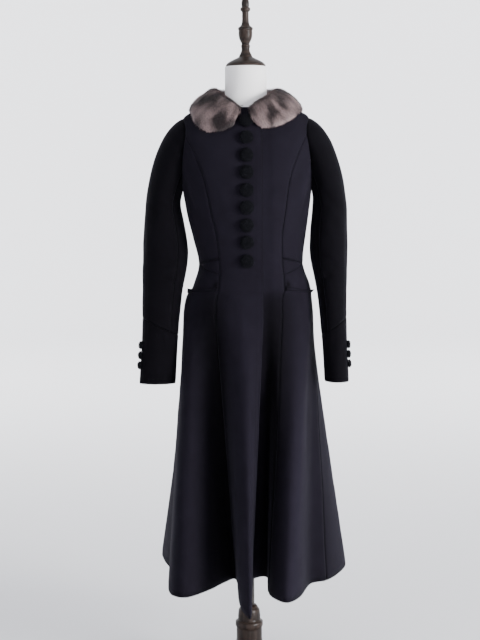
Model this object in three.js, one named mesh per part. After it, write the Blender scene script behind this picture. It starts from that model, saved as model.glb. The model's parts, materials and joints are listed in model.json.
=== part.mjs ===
// A princess-line maxi coat in black wool with a fur collar, worn by a limbless dress form on a
// turned wooden stand. Millimetres, +Z up, the front faces -Y, the origin is under the base's middle.
import * as THREE from "three";
import { mergeVertices } from "three/addons/utils/BufferGeometryUtils.js";

// Cloth
const clothWall = 2.2;
const seamGap = 0.3;
const layerGap = 0.7; // clearance between two layers of cloth
const overlapEdge = 40; // free edge of the upper front, right of the stand's axis
const underlapEdge = -15; // hidden edge of the lower front
const hemHeight = 265;

// Body sections, from the neckline to the hip. side, front and back are heights; half is half the
// width; fore and aft are depths; shift moves the section to the right; square rounds it like a
// superellipse; princess and backSeam are the seams' angles from the middle of the front.
const rings = [
  {
    name: "neckline", side: 1486, front: 1457, back: 1496,
    half: 66, fore: 70, aft: 60, shift: 0, square: 2.0, princess: 88, backSeam: 95,
  },
  {
    name: "yoke", side: 1459, front: 1412, back: 1456,
    half: 112, fore: 94, aft: 84, shift: 0, square: 2.1, princess: 80, backSeam: 100,
  },
  {
    name: "shoulder", side: 1435, front: 1366, back: 1400,
    half: 158, fore: 110, aft: 100, shift: 0, square: 2.3, princess: 70, backSeam: 110,
  },
  {
    name: "armhole", side: 1380, front: 1325, back: 1345,
    half: 174, fore: 118, aft: 108, shift: 0, square: 2.4, princess: 47, backSeam: 130,
  },
  {
    name: "chest", side: 1290, front: 1277, back: 1283,
    half: 168, fore: 126, aft: 112, shift: 1, square: 2.3, princess: 37, backSeam: 141,
  },
  {
    name: "bust", side: 1205, front: 1203, back: 1205,
    half: 157, fore: 127, aft: 107, shift: 3, square: 2.2, princess: 34.5, backSeam: 145,
  },
  {
    name: "ribs", side: 1135, front: 1135, back: 1135,
    half: 144, fore: 114, aft: 96, shift: 6, square: 2.1, princess: 33.5, backSeam: 147,
  },
  {
    name: "waist", side: 1064, front: 1064, back: 1064,
    half: 133, fore: 101, aft: 88, shift: 10, square: 2.1, princess: 35.5, backSeam: 150,
  },
  {
    name: "high hip", side: 1008, front: 1008, back: 1008,
    half: 149, fore: 110, aft: 106, shift: 11, square: 2.1, princess: 32.5, backSeam: 150,
  },
  {
    name: "hip", side: 940, front: 940, back: 940,
    half: 166, fore: 126, aft: 126, shift: 3, square: 2.0, princess: 30.5, backSeam: 150,
  },
  {
    name: "skirt", side: 602, front: 602, back: 602,
    half: 196, fore: 180, aft: 180, shift: 10, square: 2.0, princess: 30.5, backSeam: 150,
  },
];
const waistLevel = 7;
const hipLevel = 9;
const hemLevel = 11;

// The hem's folds, from the upper front's free edge round the right of the wearer, the back and the
// left of the wearer to the lower front's edge. around is the angle that each fold has at the hip,
// x and fore its place at the hem, drop how far it hangs below the hem height.
const folds = [
  { name: "free edge", around: -11, x: 7, fore: 176, drop: 0 },
  { name: "front ridge", around: 1, x: 3, fore: 282, drop: 36 },
  { name: "ridge shoulder", around: 13, x: -24, fore: 232, drop: 20 },
  { name: "front valley", around: 30, x: -34, fore: 80, drop: 0 },
  { name: "valley side", around: 42, x: -64, fore: 104, drop: 0 },
  { name: "lobe side", around: 50, x: -98, fore: 164, drop: 0 },
  { name: "front lobe", around: 60, x: -152, fore: 226, drop: 0 },
  { name: "lobe corner", around: 71, x: -192, fore: 200, drop: 0 },
  { name: "side", around: 84, x: -204, fore: 105, drop: 0 },
  { name: "side valley", around: 98, x: -200, fore: 0, drop: 0 },
  { name: "back corner side", around: 112, x: -226, fore: -110, drop: 0 },
  { name: "back corner", around: 126, x: -234, fore: -200, drop: 0 },
  { name: "back lobe", around: 140, x: -188, fore: -252, drop: 0 },
  { name: "back valley", around: 152, x: -130, fore: -214, drop: 0 },
  { name: "back fold", around: 166, x: -70, fore: -264, drop: 0 },
  { name: "centre back", around: 180, x: 5, fore: -226, drop: 0 },
  { name: "far back fold", around: 194, x: 80, fore: -264, drop: 0 },
  { name: "far back valley", around: 208, x: 140, fore: -212, drop: 0 },
  { name: "far back lobe", around: 222, x: 206, fore: -238, drop: 0 },
  { name: "far corner", around: 236, x: 250, fore: -160, drop: 0 },
  { name: "far corner side", around: 248, x: 256, fore: -60, drop: 0 },
  { name: "far side", around: 259, x: 232, fore: 22, drop: 0 },
  { name: "far side seam", around: 270, x: 196, fore: 88, drop: 0 },
  { name: "far side valley", around: 281, x: 154, fore: 118, drop: 0 },
  { name: "far lobe side", around: 294, x: 124, fore: 226, drop: 0 },
  { name: "far lobe", around: 306, x: 90, fore: 274, drop: 0 },
  { name: "far lobe corner", around: 320, x: 58, fore: 236, drop: 0 },
  { name: "far lobe inside", around: 331, x: 45, fore: 180, drop: 0 },
  { name: "far front valley", around: 342, x: 44, fore: 66, drop: 0 },
  { name: "under the ridge", around: 354, x: 20, fore: 66, drop: 0 },
  { name: "lower edge", around: 370, x: -8, fore: 110, drop: 0 },
];

// The armhole in the body's own angles and levels: its middle, half its height, and its widths.
const armholeMiddle = 3.275;
const armholeHalf = 1.225;
const armholeSteps = 10; // from the shoulder point to the underarm point
const armholeTip = 3; // the step where the princess seams reach the armhole
const armholeFront = { width: 26, slant: 7 };
const armholeBack = { width: 25, slant: 4 };

// Sleeve sections below the armhole: x and fore place the middle, half and deep are half its sizes.
const sleeveSections = {
  right: [
    { name: "upper arm", x: 212, fore: 4, z: 1205, half: 46, deep: 62 },
    { name: "elbow", x: 207, fore: 10, z: 1095, half: 58, deep: 54 },
    { name: "forearm", x: 216, fore: 22, z: 985, half: 50, deep: 46 },
    { name: "wrist", x: 222, fore: 34, z: 875, half: 46, deep: 38 },
    { name: "cuff", x: 229, fore: 44, z: 765, half: 46, deep: 31 },
  ],
  left: [
    { name: "upper arm", x: 211, fore: 4, z: 1205, half: 44, deep: 62 },
    { name: "elbow", x: 208, fore: 14, z: 1095, half: 48, deep: 58 },
    { name: "forearm", x: 215, fore: 28, z: 985, half: 37, deep: 52 },
    { name: "wrist", x: 220, fore: 42, z: 875, half: 32, deep: 47 },
    { name: "cuff", x: 225, fore: 54, z: 770, half: 31, deep: 44 },
  ],
};
const sleeveSeams = { front: 7, back: 14 }; // the columns, of 20, where the two sleeve panels meet
const capRows = [0, 0.1, 0.28, 0.5, 0.76];
const sleeveRows = [0, 0.5, 1, 1.5, 2];
const forearmSeam = { outside: 2.5, inside: 2.9 }; // the slanted seam's place between the sections
const cuffRows = 4;

// Fur collar
const collarEnds = { right: 10, left: 357 }; // angles of its front ends at the neckline
const collarSpread = { right: 6, left: -12 }; // how far each end turns away at the outer edge
const collarColumns = 22;
const collarReach = { front: 1.38, side: 1.52, back: 1.42 }; // its outer edge, in body levels
const collarLobe = { angle: 38, spread: 24, extra: 0.42 }; // its right end hangs lower
const collarSection = [
  { across: 0.0, above: 1.6 },
  { across: -0.04, above: 10 },
  { across: 0.02, above: 19 },
  { across: 0.2, above: 23 },
  { across: 0.5, above: 21 },
  { across: 0.76, above: 18 },
  { across: 0.94, above: 12 },
  { across: 1.0, above: 5.5 },
  { across: 0.95, above: 2.5 },
  { across: 0.62, above: 2.3 },
  { across: 0.3, above: 1.8 },
];

// Buttons and pocket welts
const frontButton = { radius: 17.5, height: 13, sides: 14 };
const frontButtonHeights = [1421, 1380, 1337, 1295, 1252, 1209, 1166, 1123, 1076];
const cuffButton = { radius: 10, height: 8, sides: 10 };
const cuffButtonRows = [3.12, 3.32, 3.52];
const welt = { inner: 33.5, outer: 86, innerLevel: 7.95, outerLevel: 8.36, tall: 0.2, standOff: 7 };

// Dress form and stand
const neckRadius = 52.8;
const neckTop = 1562;
const formBottom = 905;
const formGap = 4.6; // clearance of the body below the shoulders
const shoulderGap = 2.1;
const capProfile = [
  [0, 1562.3], [50, 1562.3], [50.5, 1567], [46, 1573], [36, 1579], [24, 1584], [17, 1590],
  [14.5, 1598], [11.5, 1607], [10.9, 1611], [0, 1611],
];
const finialProfile = [
  [0, 1611.3], [12.5, 1611.3], [12.5, 1618], [15.5, 1628], [18, 1640], [16.5, 1650], [18.5, 1654],
  [18.5, 1660], [11.5, 1668], [8.7, 1682], [8.7, 1696], [12.7, 1703], [12.7, 1709], [8, 1713],
  [9.9, 1722], [7.5, 1731], [0, 1735],
];
const poleRadius = 14;
const riserTop = 181;
const riserProfile = [
  [0, 25.3], [60, 25.3], [60, 34], [46, 44], [36, 62], [33, 90], [33, 118], [35.5, 124], [35.5, 134],
  [29, 139], [29, 150], [27, 165], [19, 177], [0, riserTop],
];
const baseProfile = [[0, 0], [165, 0], [165, 14], [160, 20], [148, 25], [0, 25]];

const materials = {
  wool: { color: 0x15141a, roughness: 0.95 },
  fur: { color: 0x7c6c6e, roughness: 0.9 },
  velvet: { color: 0x050507, roughness: 1.0 },
  jersey: { color: 0xdcdad8, roughness: 0.95 },
  wood: { color: 0x3d342f, roughness: 0.45 },
  steel: { color: 0x2b2826, roughness: 0.4, metalness: 0.6 },
};

const coat = new THREE.Group();
const { lerp, clamp, smoothstep, degToRad } = THREE.MathUtils;

// A smooth curve through evenly numbered rows of a table.
function smoothAt(rows, key, position) {
  const last = rows.length - 1;
  const start = clamp(Math.floor(position), 0, last - 1);
  const t = position - start;
  const value = (n) => rows[clamp(n, 0, last)][key];
  const [a, b, c, d] = [value(start - 1), value(start), value(start + 1), value(start + 2)];
  return b + 0.5 * t * (c - a + t * (2 * a - 5 * b + 4 * c - d + t * (3 * (b - c) + d - a)));
}

// A smooth curve through the folds, which are spaced unevenly.
function foldAt(key, around) {
  const last = folds.length - 1;
  let n = 0;
  while (n < last - 1 && folds[n + 1].around < around) n++;
  const slope = (k) => {
    const [before, after] = [folds[Math.max(k - 1, 0)], folds[Math.min(k + 1, last)]];
    return (after[key] - before[key]) / (after.around - before.around);
  };
  const [from, to] = [folds[n], folds[n + 1]];
  const span = to.around - from.around;
  const t = (around - from.around) / span;
  const s = t * t * (3 - 2 * t);
  const easeIn = t * (1 - t) * (1 - t) * span * slope(n);
  const easeOut = t * t * (t - 1) * span * slope(n + 1);
  return lerp(from[key], to[key], s) + easeIn + easeOut;
}

// The coat's outer surface with no layers: a closed section down to the hip, then folds to the hem.
function bodyPoint(around, level) {
  const row = Math.min(level, hipLevel);
  const ring = (key) => smoothAt(rings, key, row);
  const [sine, cosine] = [Math.sin(degToRad(around)), Math.cos(degToRad(around))];
  const power = 2 / ring("square");
  const inFront = cosine > 0;
  const depth = inFront ? ring("fore") : ring("aft");
  const rise = ring(inFront ? "front" : "back") - ring("side");
  const point = new THREE.Vector3(
    ring("shift") - Math.sign(sine) * ring("half") * Math.abs(sine) ** power,
    -Math.sign(cosine) * depth * Math.abs(cosine) ** power,
    ring("side") + rise * cosine * cosine,
  );
  if (level <= hipLevel) return point;
  const hem = new THREE.Vector3(
    foldAt("x", around),
    -foldAt("fore", around),
    hemHeight - foldAt("drop", around),
  );
  return point.lerp(hem, (level - hipLevel) / (hemLevel - hipLevel));
}

function bodyNormal(around, level) {
  const turn = 0.6;
  const step = 0.02;
  const across = bodyPoint(around + turn, level).sub(bodyPoint(around - turn, level));
  const along = bodyPoint(around, level + step).sub(bodyPoint(around, level - step));
  return across.cross(along).normalize();
}

// Half the section's width as a ring angle sees it, used to place the overlap and its layers.
function sideways(angle, level) {
  const row = Math.min(level, hipLevel);
  const sine = Math.sin(degToRad(angle));
  const spread = smoothAt(rings, "half", row) * Math.abs(sine) ** (2 / smoothAt(rings, "square", row));
  return Math.sign(sine) * spread;
}

function angleOf(x, level) {
  const row = Math.min(level, hipLevel);
  const part = (x - smoothAt(rings, "shift", row)) / smoothAt(rings, "half", row);
  const sine = Math.sign(part) * Math.abs(part) ** (smoothAt(rings, "square", row) / 2);
  return Math.asin(sine) / degToRad(1);
}

// A point of the worn coat and its outward direction. The lower front goes inside the upper one.
function coatPoint(around, level, above = 0) {
  const point = bodyPoint(around, level);
  const normal = bodyNormal(around, level);
  let lift = above;
  if (around > 270) {
    const x = sideways(360 - around, level) + smoothAt(rings, "shift", Math.min(level, hipLevel));
    lift -= (clothWall + layerGap) * (1 - smoothstep(x, overlapEdge + 6, overlapEdge + 30));
  }
  return { point: point.addScaledVector(normal, lift), normal };
}

// The angles from the middle of the front are the same on both sides of the coat.
const aroundOn = (side, angle) => (side < 0 ? angle : 360 - angle);
const sideName = (side) => (side < 0 ? "right" : "left"); // as the wearer has them

const armholeTurn = (step) => (step * Math.PI) / armholeSteps;
const armholeLevel = (step) => armholeMiddle - armholeHalf * Math.cos(armholeTurn(step));
function armholeAngle(step, edge) {
  const turn = armholeTurn(step);
  return edge.width * Math.sin(turn) + edge.slant * Math.sin(2 * turn);
}

// Rows of the panels. The waist gusset lies between two rows at the princess seam and has its point
// at the side, so the seam rows and the side rows differ there.
const armholeLevels = Array.from({ length: armholeSteps + 1 }, (_, step) => armholeLevel(step));
const yokeLevels = [0, 0.5, 1, 1.5];
const bodiceLevels = [5, 5.6, 6.2];
const skirtLevels = [8, 8.5, 9, 9.33, 9.67, 10, 10.33, 10.67, hemLevel];
const gussetTop = 6.76;
const gussetBottom = 7.39;
const gussetLevels = [gussetTop, waistLevel, gussetBottom];
const seamRows = [...yokeLevels, ...armholeLevels, ...bodiceLevels, ...gussetLevels, ...skirtLevels];
const sideRows = [...yokeLevels, ...armholeLevels, ...bodiceLevels, waistLevel, ...skirtLevels];
const tipRow = yokeLevels.length + armholeTip;
const underarmRow = yokeLevels.length + armholeSteps;
const gussetRow = seamRows.indexOf(gussetTop);

// Where a front or back panel ends: at the shoulder seam, then at the armhole, then at its own seam.
function panelLimit(row, level, isFront) {
  const sign = isFront ? -1 : 1;
  if (row < yokeLevels.length) return 90;
  const edge = isFront ? armholeFront : armholeBack;
  if (row <= tipRow) return 90 + sign * armholeAngle(row - yokeLevels.length, edge);
  return smoothAt(rings, isFront ? "princess" : "backSeam", Math.min(level, hipLevel));
}

function sideLimit(row, isFront) {
  if (row >= underarmRow) return 90;
  const sign = isFront ? -1 : 1;
  return 90 + sign * armholeAngle(row - yokeLevels.length, isFront ? armholeFront : armholeBack);
}

// Turns a mesh the right way out, with its shared corners joined.
function closedMesh(name, geometry, material) {
  geometry.deleteAttribute("normal");
  geometry.deleteAttribute("uv");
  const joined = mergeVertices(geometry, 1e-4);
  const place = joined.getAttribute("position");
  const corners = Array.from(joined.index.array);
  const faces = [];
  let volume = 0;
  const [a, b, c] = [new THREE.Vector3(), new THREE.Vector3(), new THREE.Vector3()];
  for (let i = 0; i < corners.length; i += 3) {
    const face = corners.slice(i, i + 3);
    if (new Set(face).size < 3) continue;
    [a, b, c].forEach((corner, k) => corner.fromBufferAttribute(place, face[k]));
    volume += a.dot(b.cross(c));
    faces.push(face);
  }
  joined.setIndex(faces.flatMap((face) => (volume < 0 ? face.reverse() : face)));
  joined.computeVertexNormals();
  const mesh = new THREE.Mesh(joined, new THREE.MeshStandardMaterial(materials[material]));
  mesh.name = name;
  coat.add(mesh);
  return mesh;
}

function geometryFrom(points, faces) {
  const geometry = new THREE.BufferGeometry();
  const numbers = points.flatMap((point) => point.toArray());
  geometry.setAttribute("position", new THREE.Float32BufferAttribute(numbers, 3));
  geometry.setIndex(faces);
  return geometry;
}

// A wall of cloth through rows of outer points. Its four edges draw back by half the seam gap.
function clothPiece(name, rows, gap = seamGap) {
  const lastRow = rows.length - 1;
  const lastColumn = rows[0].length - 1;
  const outer = rows.map((row) => row.map(({ point }) => point.clone()));
  const draw = (edge, inside) => {
    const away = inside.clone().sub(edge);
    edge.addScaledVector(away.normalize(), gap / 2);
  };
  for (let c = 0; c <= lastColumn; c++) {
    draw(outer[0][c], outer[1][c]);
    draw(outer[lastRow][c], outer[lastRow - 1][c]);
  }
  for (let r = 0; r <= lastRow; r++) {
    draw(outer[r][0], outer[r][1]);
    draw(outer[r][lastColumn], outer[r][lastColumn - 1]);
  }
  const inner = outer.map((row, r) =>
    row.map((point, c) => point.clone().addScaledVector(rows[r][c].normal, -clothWall)),
  );
  const points = [...outer.flat(), ...inner.flat()];
  const half = points.length / 2;
  const at = (r, c) => r * (lastColumn + 1) + c;
  const faces = [];
  const quad = (a, b, c, d) => faces.push(a, b, c, a, c, d);
  for (let r = 0; r < lastRow; r++) {
    for (let c = 0; c < lastColumn; c++) {
      const [a, b, d, e] = [at(r, c), at(r, c + 1), at(r + 1, c + 1), at(r + 1, c)];
      quad(a, b, d, e);
      quad(half + e, half + d, half + b, half + a);
    }
  }
  for (let c = 0; c < lastColumn; c++) {
    quad(at(0, c + 1), at(0, c), half + at(0, c), half + at(0, c + 1));
    quad(at(lastRow, c), at(lastRow, c + 1), half + at(lastRow, c + 1), half + at(lastRow, c));
  }
  for (let r = 0; r < lastRow; r++) {
    quad(at(r, 0), at(r + 1, 0), half + at(r + 1, 0), half + at(r, 0));
    quad(at(r + 1, lastColumn), at(r, lastColumn), half + at(r, lastColumn), half + at(r + 1, lastColumn));
  }
  return closedMesh(name, geometryFrom(points, faces), "wool");
}

// Rows of a body panel from one angle to another; at row r the panel's first column has the level
// startLevels[r] and its last column endLevels[r].
function panelRows(side, columns, startLevels, endLevels, from, to) {
  return startLevels.map((startLevel, r) =>
    Array.from({ length: columns + 1 }, (_, c) => {
      const part = c / columns;
      const level = lerp(startLevel, endLevels[r], part);
      const angle = lerp(from(r, startLevel), to(r, endLevels[r]), part);
      return coatPoint(aroundOn(side, angle), level);
    }),
  );
}

// Cuts off a panel's point, where its two seams meet, a part of the way to its next row.
function bluntTip(rows, part) {
  rows[0].forEach(({ point, normal }, c) => {
    point.lerp(rows[1][c].point, part);
    normal.lerp(rows[1][c].normal, part).normalize();
  });
  return rows;
}

function buildBody(side) {
  const name = sideName(side);
  const edge = (level) => (side < 0 ? -angleOf(overlapEdge, level) : angleOf(underlapEdge, level));
  const frontLimit = (r, level) => panelLimit(r, level, true);
  const frontEdge = (r, level) => edge(level);
  clothPiece(`front_${name}`, panelRows(side, 11, seamRows, seamRows, frontEdge, frontLimit));
  const fromTip = (r) => r + tipRow;
  const bodiceRows = gussetRow - tipRow + 1;
  const sideColumns = 11;
  clothPiece(
    `side_front_${name}`,
    bluntTip(
      panelRows(
        side,
        sideColumns,
        seamRows.slice(tipRow, tipRow + bodiceRows),
        sideRows.slice(tipRow, tipRow + bodiceRows),
        (r, level) => panelLimit(fromTip(r), level, true),
        (r) => sideLimit(fromTip(r), true),
      ),
      0.3,
    ),
  );
  const seamAt = (r, level) => smoothAt(rings, "princess", Math.min(level, hipLevel));
  const atWaist = gussetLevels.map(() => waistLevel);
  const gusset = panelRows(side, sideColumns, gussetLevels, atWaist, seamAt, () => 90);
  gusset.forEach((row) => {
    const [before, tip] = row.slice(-2);
    tip.point.lerp(before.point, 0.4);
    tip.normal.copy(before.normal);
  });
  clothPiece(`waist_gusset_${name}`, gusset);
  const [skirtStart, skirtEnd] = [seamRows.slice(gussetRow + 2), sideRows.slice(gussetRow)];
  const skirt = panelRows(side, sideColumns, skirtStart, skirtEnd, seamAt, () => 90);
  clothPiece(`side_skirt_${name}`, skirt);
  clothPiece(
    `side_back_${name}`,
    bluntTip(
      panelRows(
        side,
        9,
        sideRows.slice(tipRow),
        sideRows.slice(tipRow),
        (r) => sideLimit(fromTip(r), false),
        (r, level) => panelLimit(fromTip(r), level, false),
      ),
      0.3,
    ),
  );
  const backLimit = (r, level) => panelLimit(r, level, false);
  clothPiece(`back_${name}`, panelRows(side, 8, sideRows, sideRows, backLimit, () => 180));
}

// The pocket welt lies on the side skirt's points, moved out, and stands away towards the side.
function buildWelt(side) {
  const columns = 9;
  const rows = [0, 0.5, 1].map((down) =>
    Array.from({ length: columns + 1 }, (_, c) => {
      const part = c / columns;
      const level = lerp(welt.innerLevel, welt.outerLevel, part) + down * welt.tall;
      const above = clothWall + layerGap + 0.3 + welt.standOff * part * part * (1 - 0.7 * down);
      return coatPoint(aroundOn(side, lerp(welt.inner, welt.outer, part)), level, above);
    }),
  );
  clothPiece(`pocket_welt_${sideName(side)}`, rows);
}

// Sleeve: a cap that leaves the armhole and turns down into the sections.
const sleeveColumns = 2 * armholeSteps;

function sectionPoint(side, turn, row) {
  const table = sleeveSections[sideName(side)];
  const value = (key) => smoothAt(table, key, row);
  return new THREE.Vector3(
    side * (value("x") + value("half") * Math.cos(turn)),
    -value("fore") - value("deep") * Math.sin(turn),
    value("z"),
  );
}

function armholePoint(side, column) {
  const isFront = column <= armholeSteps;
  const step = isFront ? column : sleeveColumns - column;
  const edge = isFront ? armholeFront : armholeBack;
  const angle = 90 + (isFront ? -1 : 1) * armholeAngle(step, edge);
  return coatPoint(aroundOn(side, angle), armholeLevel(step));
}

function sleevePoint(side, column, row) {
  const turn = (column * Math.PI) / armholeSteps;
  if (row >= 1) return sectionPoint(side, turn, row - 1);
  const { point: start, normal } = armholePoint(side, column % sleeveColumns);
  const under = smoothstep(-Math.cos(turn), -0.2, 0.45); // the underarm lies outside the body panels
  start.addScaledVector(normal, under * layerGap);
  const high = (1 + Math.cos(turn)) / 2;
  const leave = new THREE.Vector3(
    side * lerp(0.35, 1, high),
    -0.1 * Math.sin(turn),
    -lerp(1, 0.42, high),
  ).multiplyScalar(lerp(34, 240, high * high));
  const end = sectionPoint(side, turn, 0);
  const arrive = sectionPoint(side, turn, 0.02).sub(end).multiplyScalar(50);
  const [t, s] = [row, row * row * (3 - 2 * row)];
  return start
    .lerp(end, s)
    .addScaledVector(leave, t * (1 - t) * (1 - t))
    .addScaledVector(arrive, t * t * (t - 1));
}

function buildSleeve(side) {
  const name = sideName(side);
  const seamAt = (column) => {
    const turn = (column * Math.PI) / armholeSteps;
    return 1 + lerp(forearmSeam.inside, forearmSeam.outside, (1 + Math.cos(turn)) / 2);
  };
  const upperRows = [...capRows, ...sleeveRows.map((row) => row + 1)];
  const lastSection = sleeveSections[name].length;
  const rowsAt = (column) => {
    const seam = seamAt(column);
    const lower = Array.from({ length: cuffRows }, (_, n) => lerp(seam, lastSection, (n + 1) / cuffRows));
    return [...upperRows, seam, ...lower];
  };
  const columnsAll = Array.from({ length: sleeveColumns }, (_, column) =>
    rowsAt(column).map((row) => {
      const point = sleevePoint(side, column, row);
      const [turn, step] = [0.05, 0.01];
      const across = sleevePoint(side, column + turn, Math.max(row, step)).sub(
        sleevePoint(side, column - turn + (column ? 0 : sleeveColumns), Math.max(row, step)),
      );
      const above = sleevePoint(side, column, Math.max(row - step, 0));
      const along = sleevePoint(side, column, row + step).sub(above);
      const normal = along.cross(across).multiplyScalar(-side).normalize();
      return { point, normal };
    }),
  );
  const draw = (first, last, from, to) =>
    rowsAt(0).slice(from, to + 1).map((_, r) =>
      Array.from({ length: last - first + 1 }, (_, c) => {
        const { point, normal } = columnsAll[(first + c) % sleeveColumns][from + r];
        return { point: point.clone(), normal: normal.clone() };
      }),
    );
  const seamRow = upperRows.length;
  clothPiece(`sleeve_top_${name}`, draw(sleeveSeams.back, sleeveColumns + sleeveSeams.front, 0, seamRow));
  clothPiece(`sleeve_under_${name}`, draw(sleeveSeams.front, sleeveSeams.back, 0, seamRow), 2 * seamGap);
  clothPiece(`sleeve_cuff_${name}`, draw(0, sleeveColumns, seamRow, seamRow + cuffRows));
}

// A button's dome, with its flat back on z = 0.
function buttonGeometry({ radius, height, sides }) {
  const outline = [[0, 0], [0.5, 0.04], [0.84, 0.16], [1, 0.4], [0.9, 0.7], [0.55, 0.93], [0, 1]];
  const points = outline.map(([across, up]) => new THREE.Vector2(across * radius, up * height));
  return new THREE.LatheGeometry(points, sides).rotateX(Math.PI / 2);
}

function placeOn({ point, normal }, mesh, lift) {
  mesh.position.copy(point).addScaledVector(normal, lift);
  mesh.quaternion.setFromUnitVectors(new THREE.Vector3(0, 0, 1), normal);
}

function buildButtons() {
  frontButtonHeights.forEach((height, n) => {
    let level = 0.2;
    const around = () => -angleOf(0, level);
    while (bodyPoint(around(), level).z > height) level += 0.005;
    const mesh = closedMesh(`front_button_${n + 1}`, buttonGeometry(frontButton), "velvet");
    placeOn(coatPoint(around(), level), mesh, seamGap);
  });
  for (const side of [-1, 1]) {
    cuffButtonRows.forEach((row, n) => {
      const column = 0.9;
      const point = sleevePoint(side, column, row + 1);
      const across = sleevePoint(side, column + 0.1, row + 1).sub(sleevePoint(side, column - 0.1, row + 1));
      const along = sleevePoint(side, column, row + 1.02).sub(sleevePoint(side, column, row + 0.98));
      const normal = along.cross(across).multiplyScalar(-side).normalize();
      const name = `cuff_button_${sideName(side)}_${n + 1}`;
      const mesh = closedMesh(name, buttonGeometry(cuffButton), "velvet");
      placeOn({ point, normal }, mesh, seamGap);
    });
  }
}

// The collar is swept round the neckline; its ends draw in to a rounded face.
function buildCollar() {
  const endScale = [0.5, 0.82, 1];
  const loops = [];
  for (let c = 0; c <= collarColumns; c++) {
    const part = c / collarColumns;
    const fromEnd = Math.min(c, collarColumns - c);
    const scale = endScale[Math.min(fromEnd, endScale.length - 1)];
    const start = lerp(collarEnds.right, collarEnds.left, part);
    const cosine = Math.cos(degToRad(start));
    const far = cosine > 0 ? collarReach.front : collarReach.back;
    const lobe = collarLobe.extra * Math.exp(-(((start - collarLobe.angle) / collarLobe.spread) ** 2));
    const reach = lerp(collarReach.side, far, cosine * cosine) + lobe;
    const nearEnd = Math.max(0, 1 - 5 * Math.min(part, 1 - part));
    const spread = (part < 0.5 ? collarSpread.right : collarSpread.left) * nearEnd;
    const middle = { across: 0.48, above: 11 };
    loops.push(
      collarSection.map(({ across, above }) => {
        const out = lerp(middle.across, across, scale);
        const up = lerp(middle.above, above, scale);
        const around = start + spread * out;
        const level = out * reach;
        return bodyPoint(around, level).addScaledVector(bodyNormal(around, level), up);
      }),
    );
  }
  const size = collarSection.length;
  const faces = [];
  for (let c = 0; c < collarColumns; c++) {
    for (let k = 0; k < size; k++) {
      const next = (k + 1) % size;
      const [a, b] = [c * size + k, c * size + next];
      faces.push(a, b, b + size, a, b + size, a + size);
    }
  }
  const points = loops.flat();
  [0, collarColumns].forEach((c, end) => {
    const middle = loops[c].reduce((sum, point) => sum.add(point), new THREE.Vector3()).divideScalar(size);
    points.push(middle);
    for (let k = 0; k < size; k++) {
      const [a, b] = [c * size + k, c * size + ((k + 1) % size)];
      faces.push(...(end ? [points.length - 1, a, b] : [points.length - 1, b, a]));
    }
  });
  closedMesh("fur_collar", geometryFrom(points, faces), "fur");
}

// The form follows the coat's own section, inside it, up to a plain round neck.
function buildForm() {
  const columns = 28;
  const upperRows = [...yokeLevels, 2.05, 2.555, 3.275, 4, 4.5];
  const bodyRows = [...upperRows, ...bodiceLevels, waistLevel, 7.7, 8.4, hipLevel];
  const circle = (radius, z) =>
    Array.from({ length: columns }, (_, c) => {
      const turn = (2 * Math.PI * c) / columns;
      return new THREE.Vector3(-radius * Math.sin(turn), -radius * Math.cos(turn), z);
    });
  const bodyRow = (level, inside = 0) =>
    Array.from({ length: columns }, (_, c) => {
      const around = (360 * c) / columns;
      const sine = Math.abs(Math.sin(degToRad(around)));
      const onYoke = smoothstep(level, 1, 1.5) * (1 - smoothstep(level, 1.9, 2.6));
      const onShoulder = smoothstep(sine, 0.5, 0.9) * onYoke;
      const depth = clothWall + lerp(formGap, shoulderGap, onShoulder) + inside;
      return bodyPoint(around, level).addScaledVector(bodyNormal(around, level), -depth);
    });
  const bottom = bodyRow(hipLevel, 8);
  bottom.forEach((point) => point.setZ(formBottom));
  const rows = [
    circle(neckRadius, neckTop),
    circle(neckRadius, 1515),
    circle(neckRadius + 0.7, 1494),
    ...bodyRows.map((level) => bodyRow(level)),
    bottom,
  ];
  const points = rows.flat();
  const faces = [];
  for (let r = 0; r < rows.length - 1; r++) {
    for (let c = 0; c < columns; c++) {
      const [a, b] = [r * columns + c, r * columns + ((c + 1) % columns)];
      faces.push(a, b, b + columns, a, b + columns, a + columns);
    }
  }
  const top = points.push(new THREE.Vector3(0, 0, neckTop)) - 1;
  const middle = points.push(new THREE.Vector3(smoothAt(rings, "shift", hipLevel), 0, formBottom)) - 1;
  const lastRow = (rows.length - 1) * columns;
  for (let c = 0; c < columns; c++) {
    const next = (c + 1) % columns;
    faces.push(top, next, c, middle, lastRow + c, lastRow + next);
  }
  closedMesh("form_torso", geometryFrom(points, faces), "jersey");
}

function turned(name, profile, sides, material) {
  const points = profile.map(([radius, height]) => new THREE.Vector2(radius, height));
  closedMesh(name, new THREE.LatheGeometry(points, sides).rotateX(Math.PI / 2), material);
}

function buildStand() {
  turned("form_cap", capProfile, 28, "wood");
  turned("form_finial", finialProfile, 20, "wood");
  const [low, high] = [riserTop + seamGap, formBottom - seamGap];
  turned("stand_pole", [[0, low], [poleRadius, low], [poleRadius, high], [0, high]], 20, "steel");
  turned("stand_riser", riserProfile, 28, "wood");
  turned("stand_base", baseProfile, 36, "wood");
}

buildForm();
buildStand();
for (const side of [-1, 1]) {
  buildBody(side);
  buildWelt(side);
  buildSleeve(side);
}
buildCollar();
buildButtons();

export default coat;
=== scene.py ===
import json
import math

import bpy
import numpy as np
from mathutils import Matrix, Vector, noise

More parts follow.
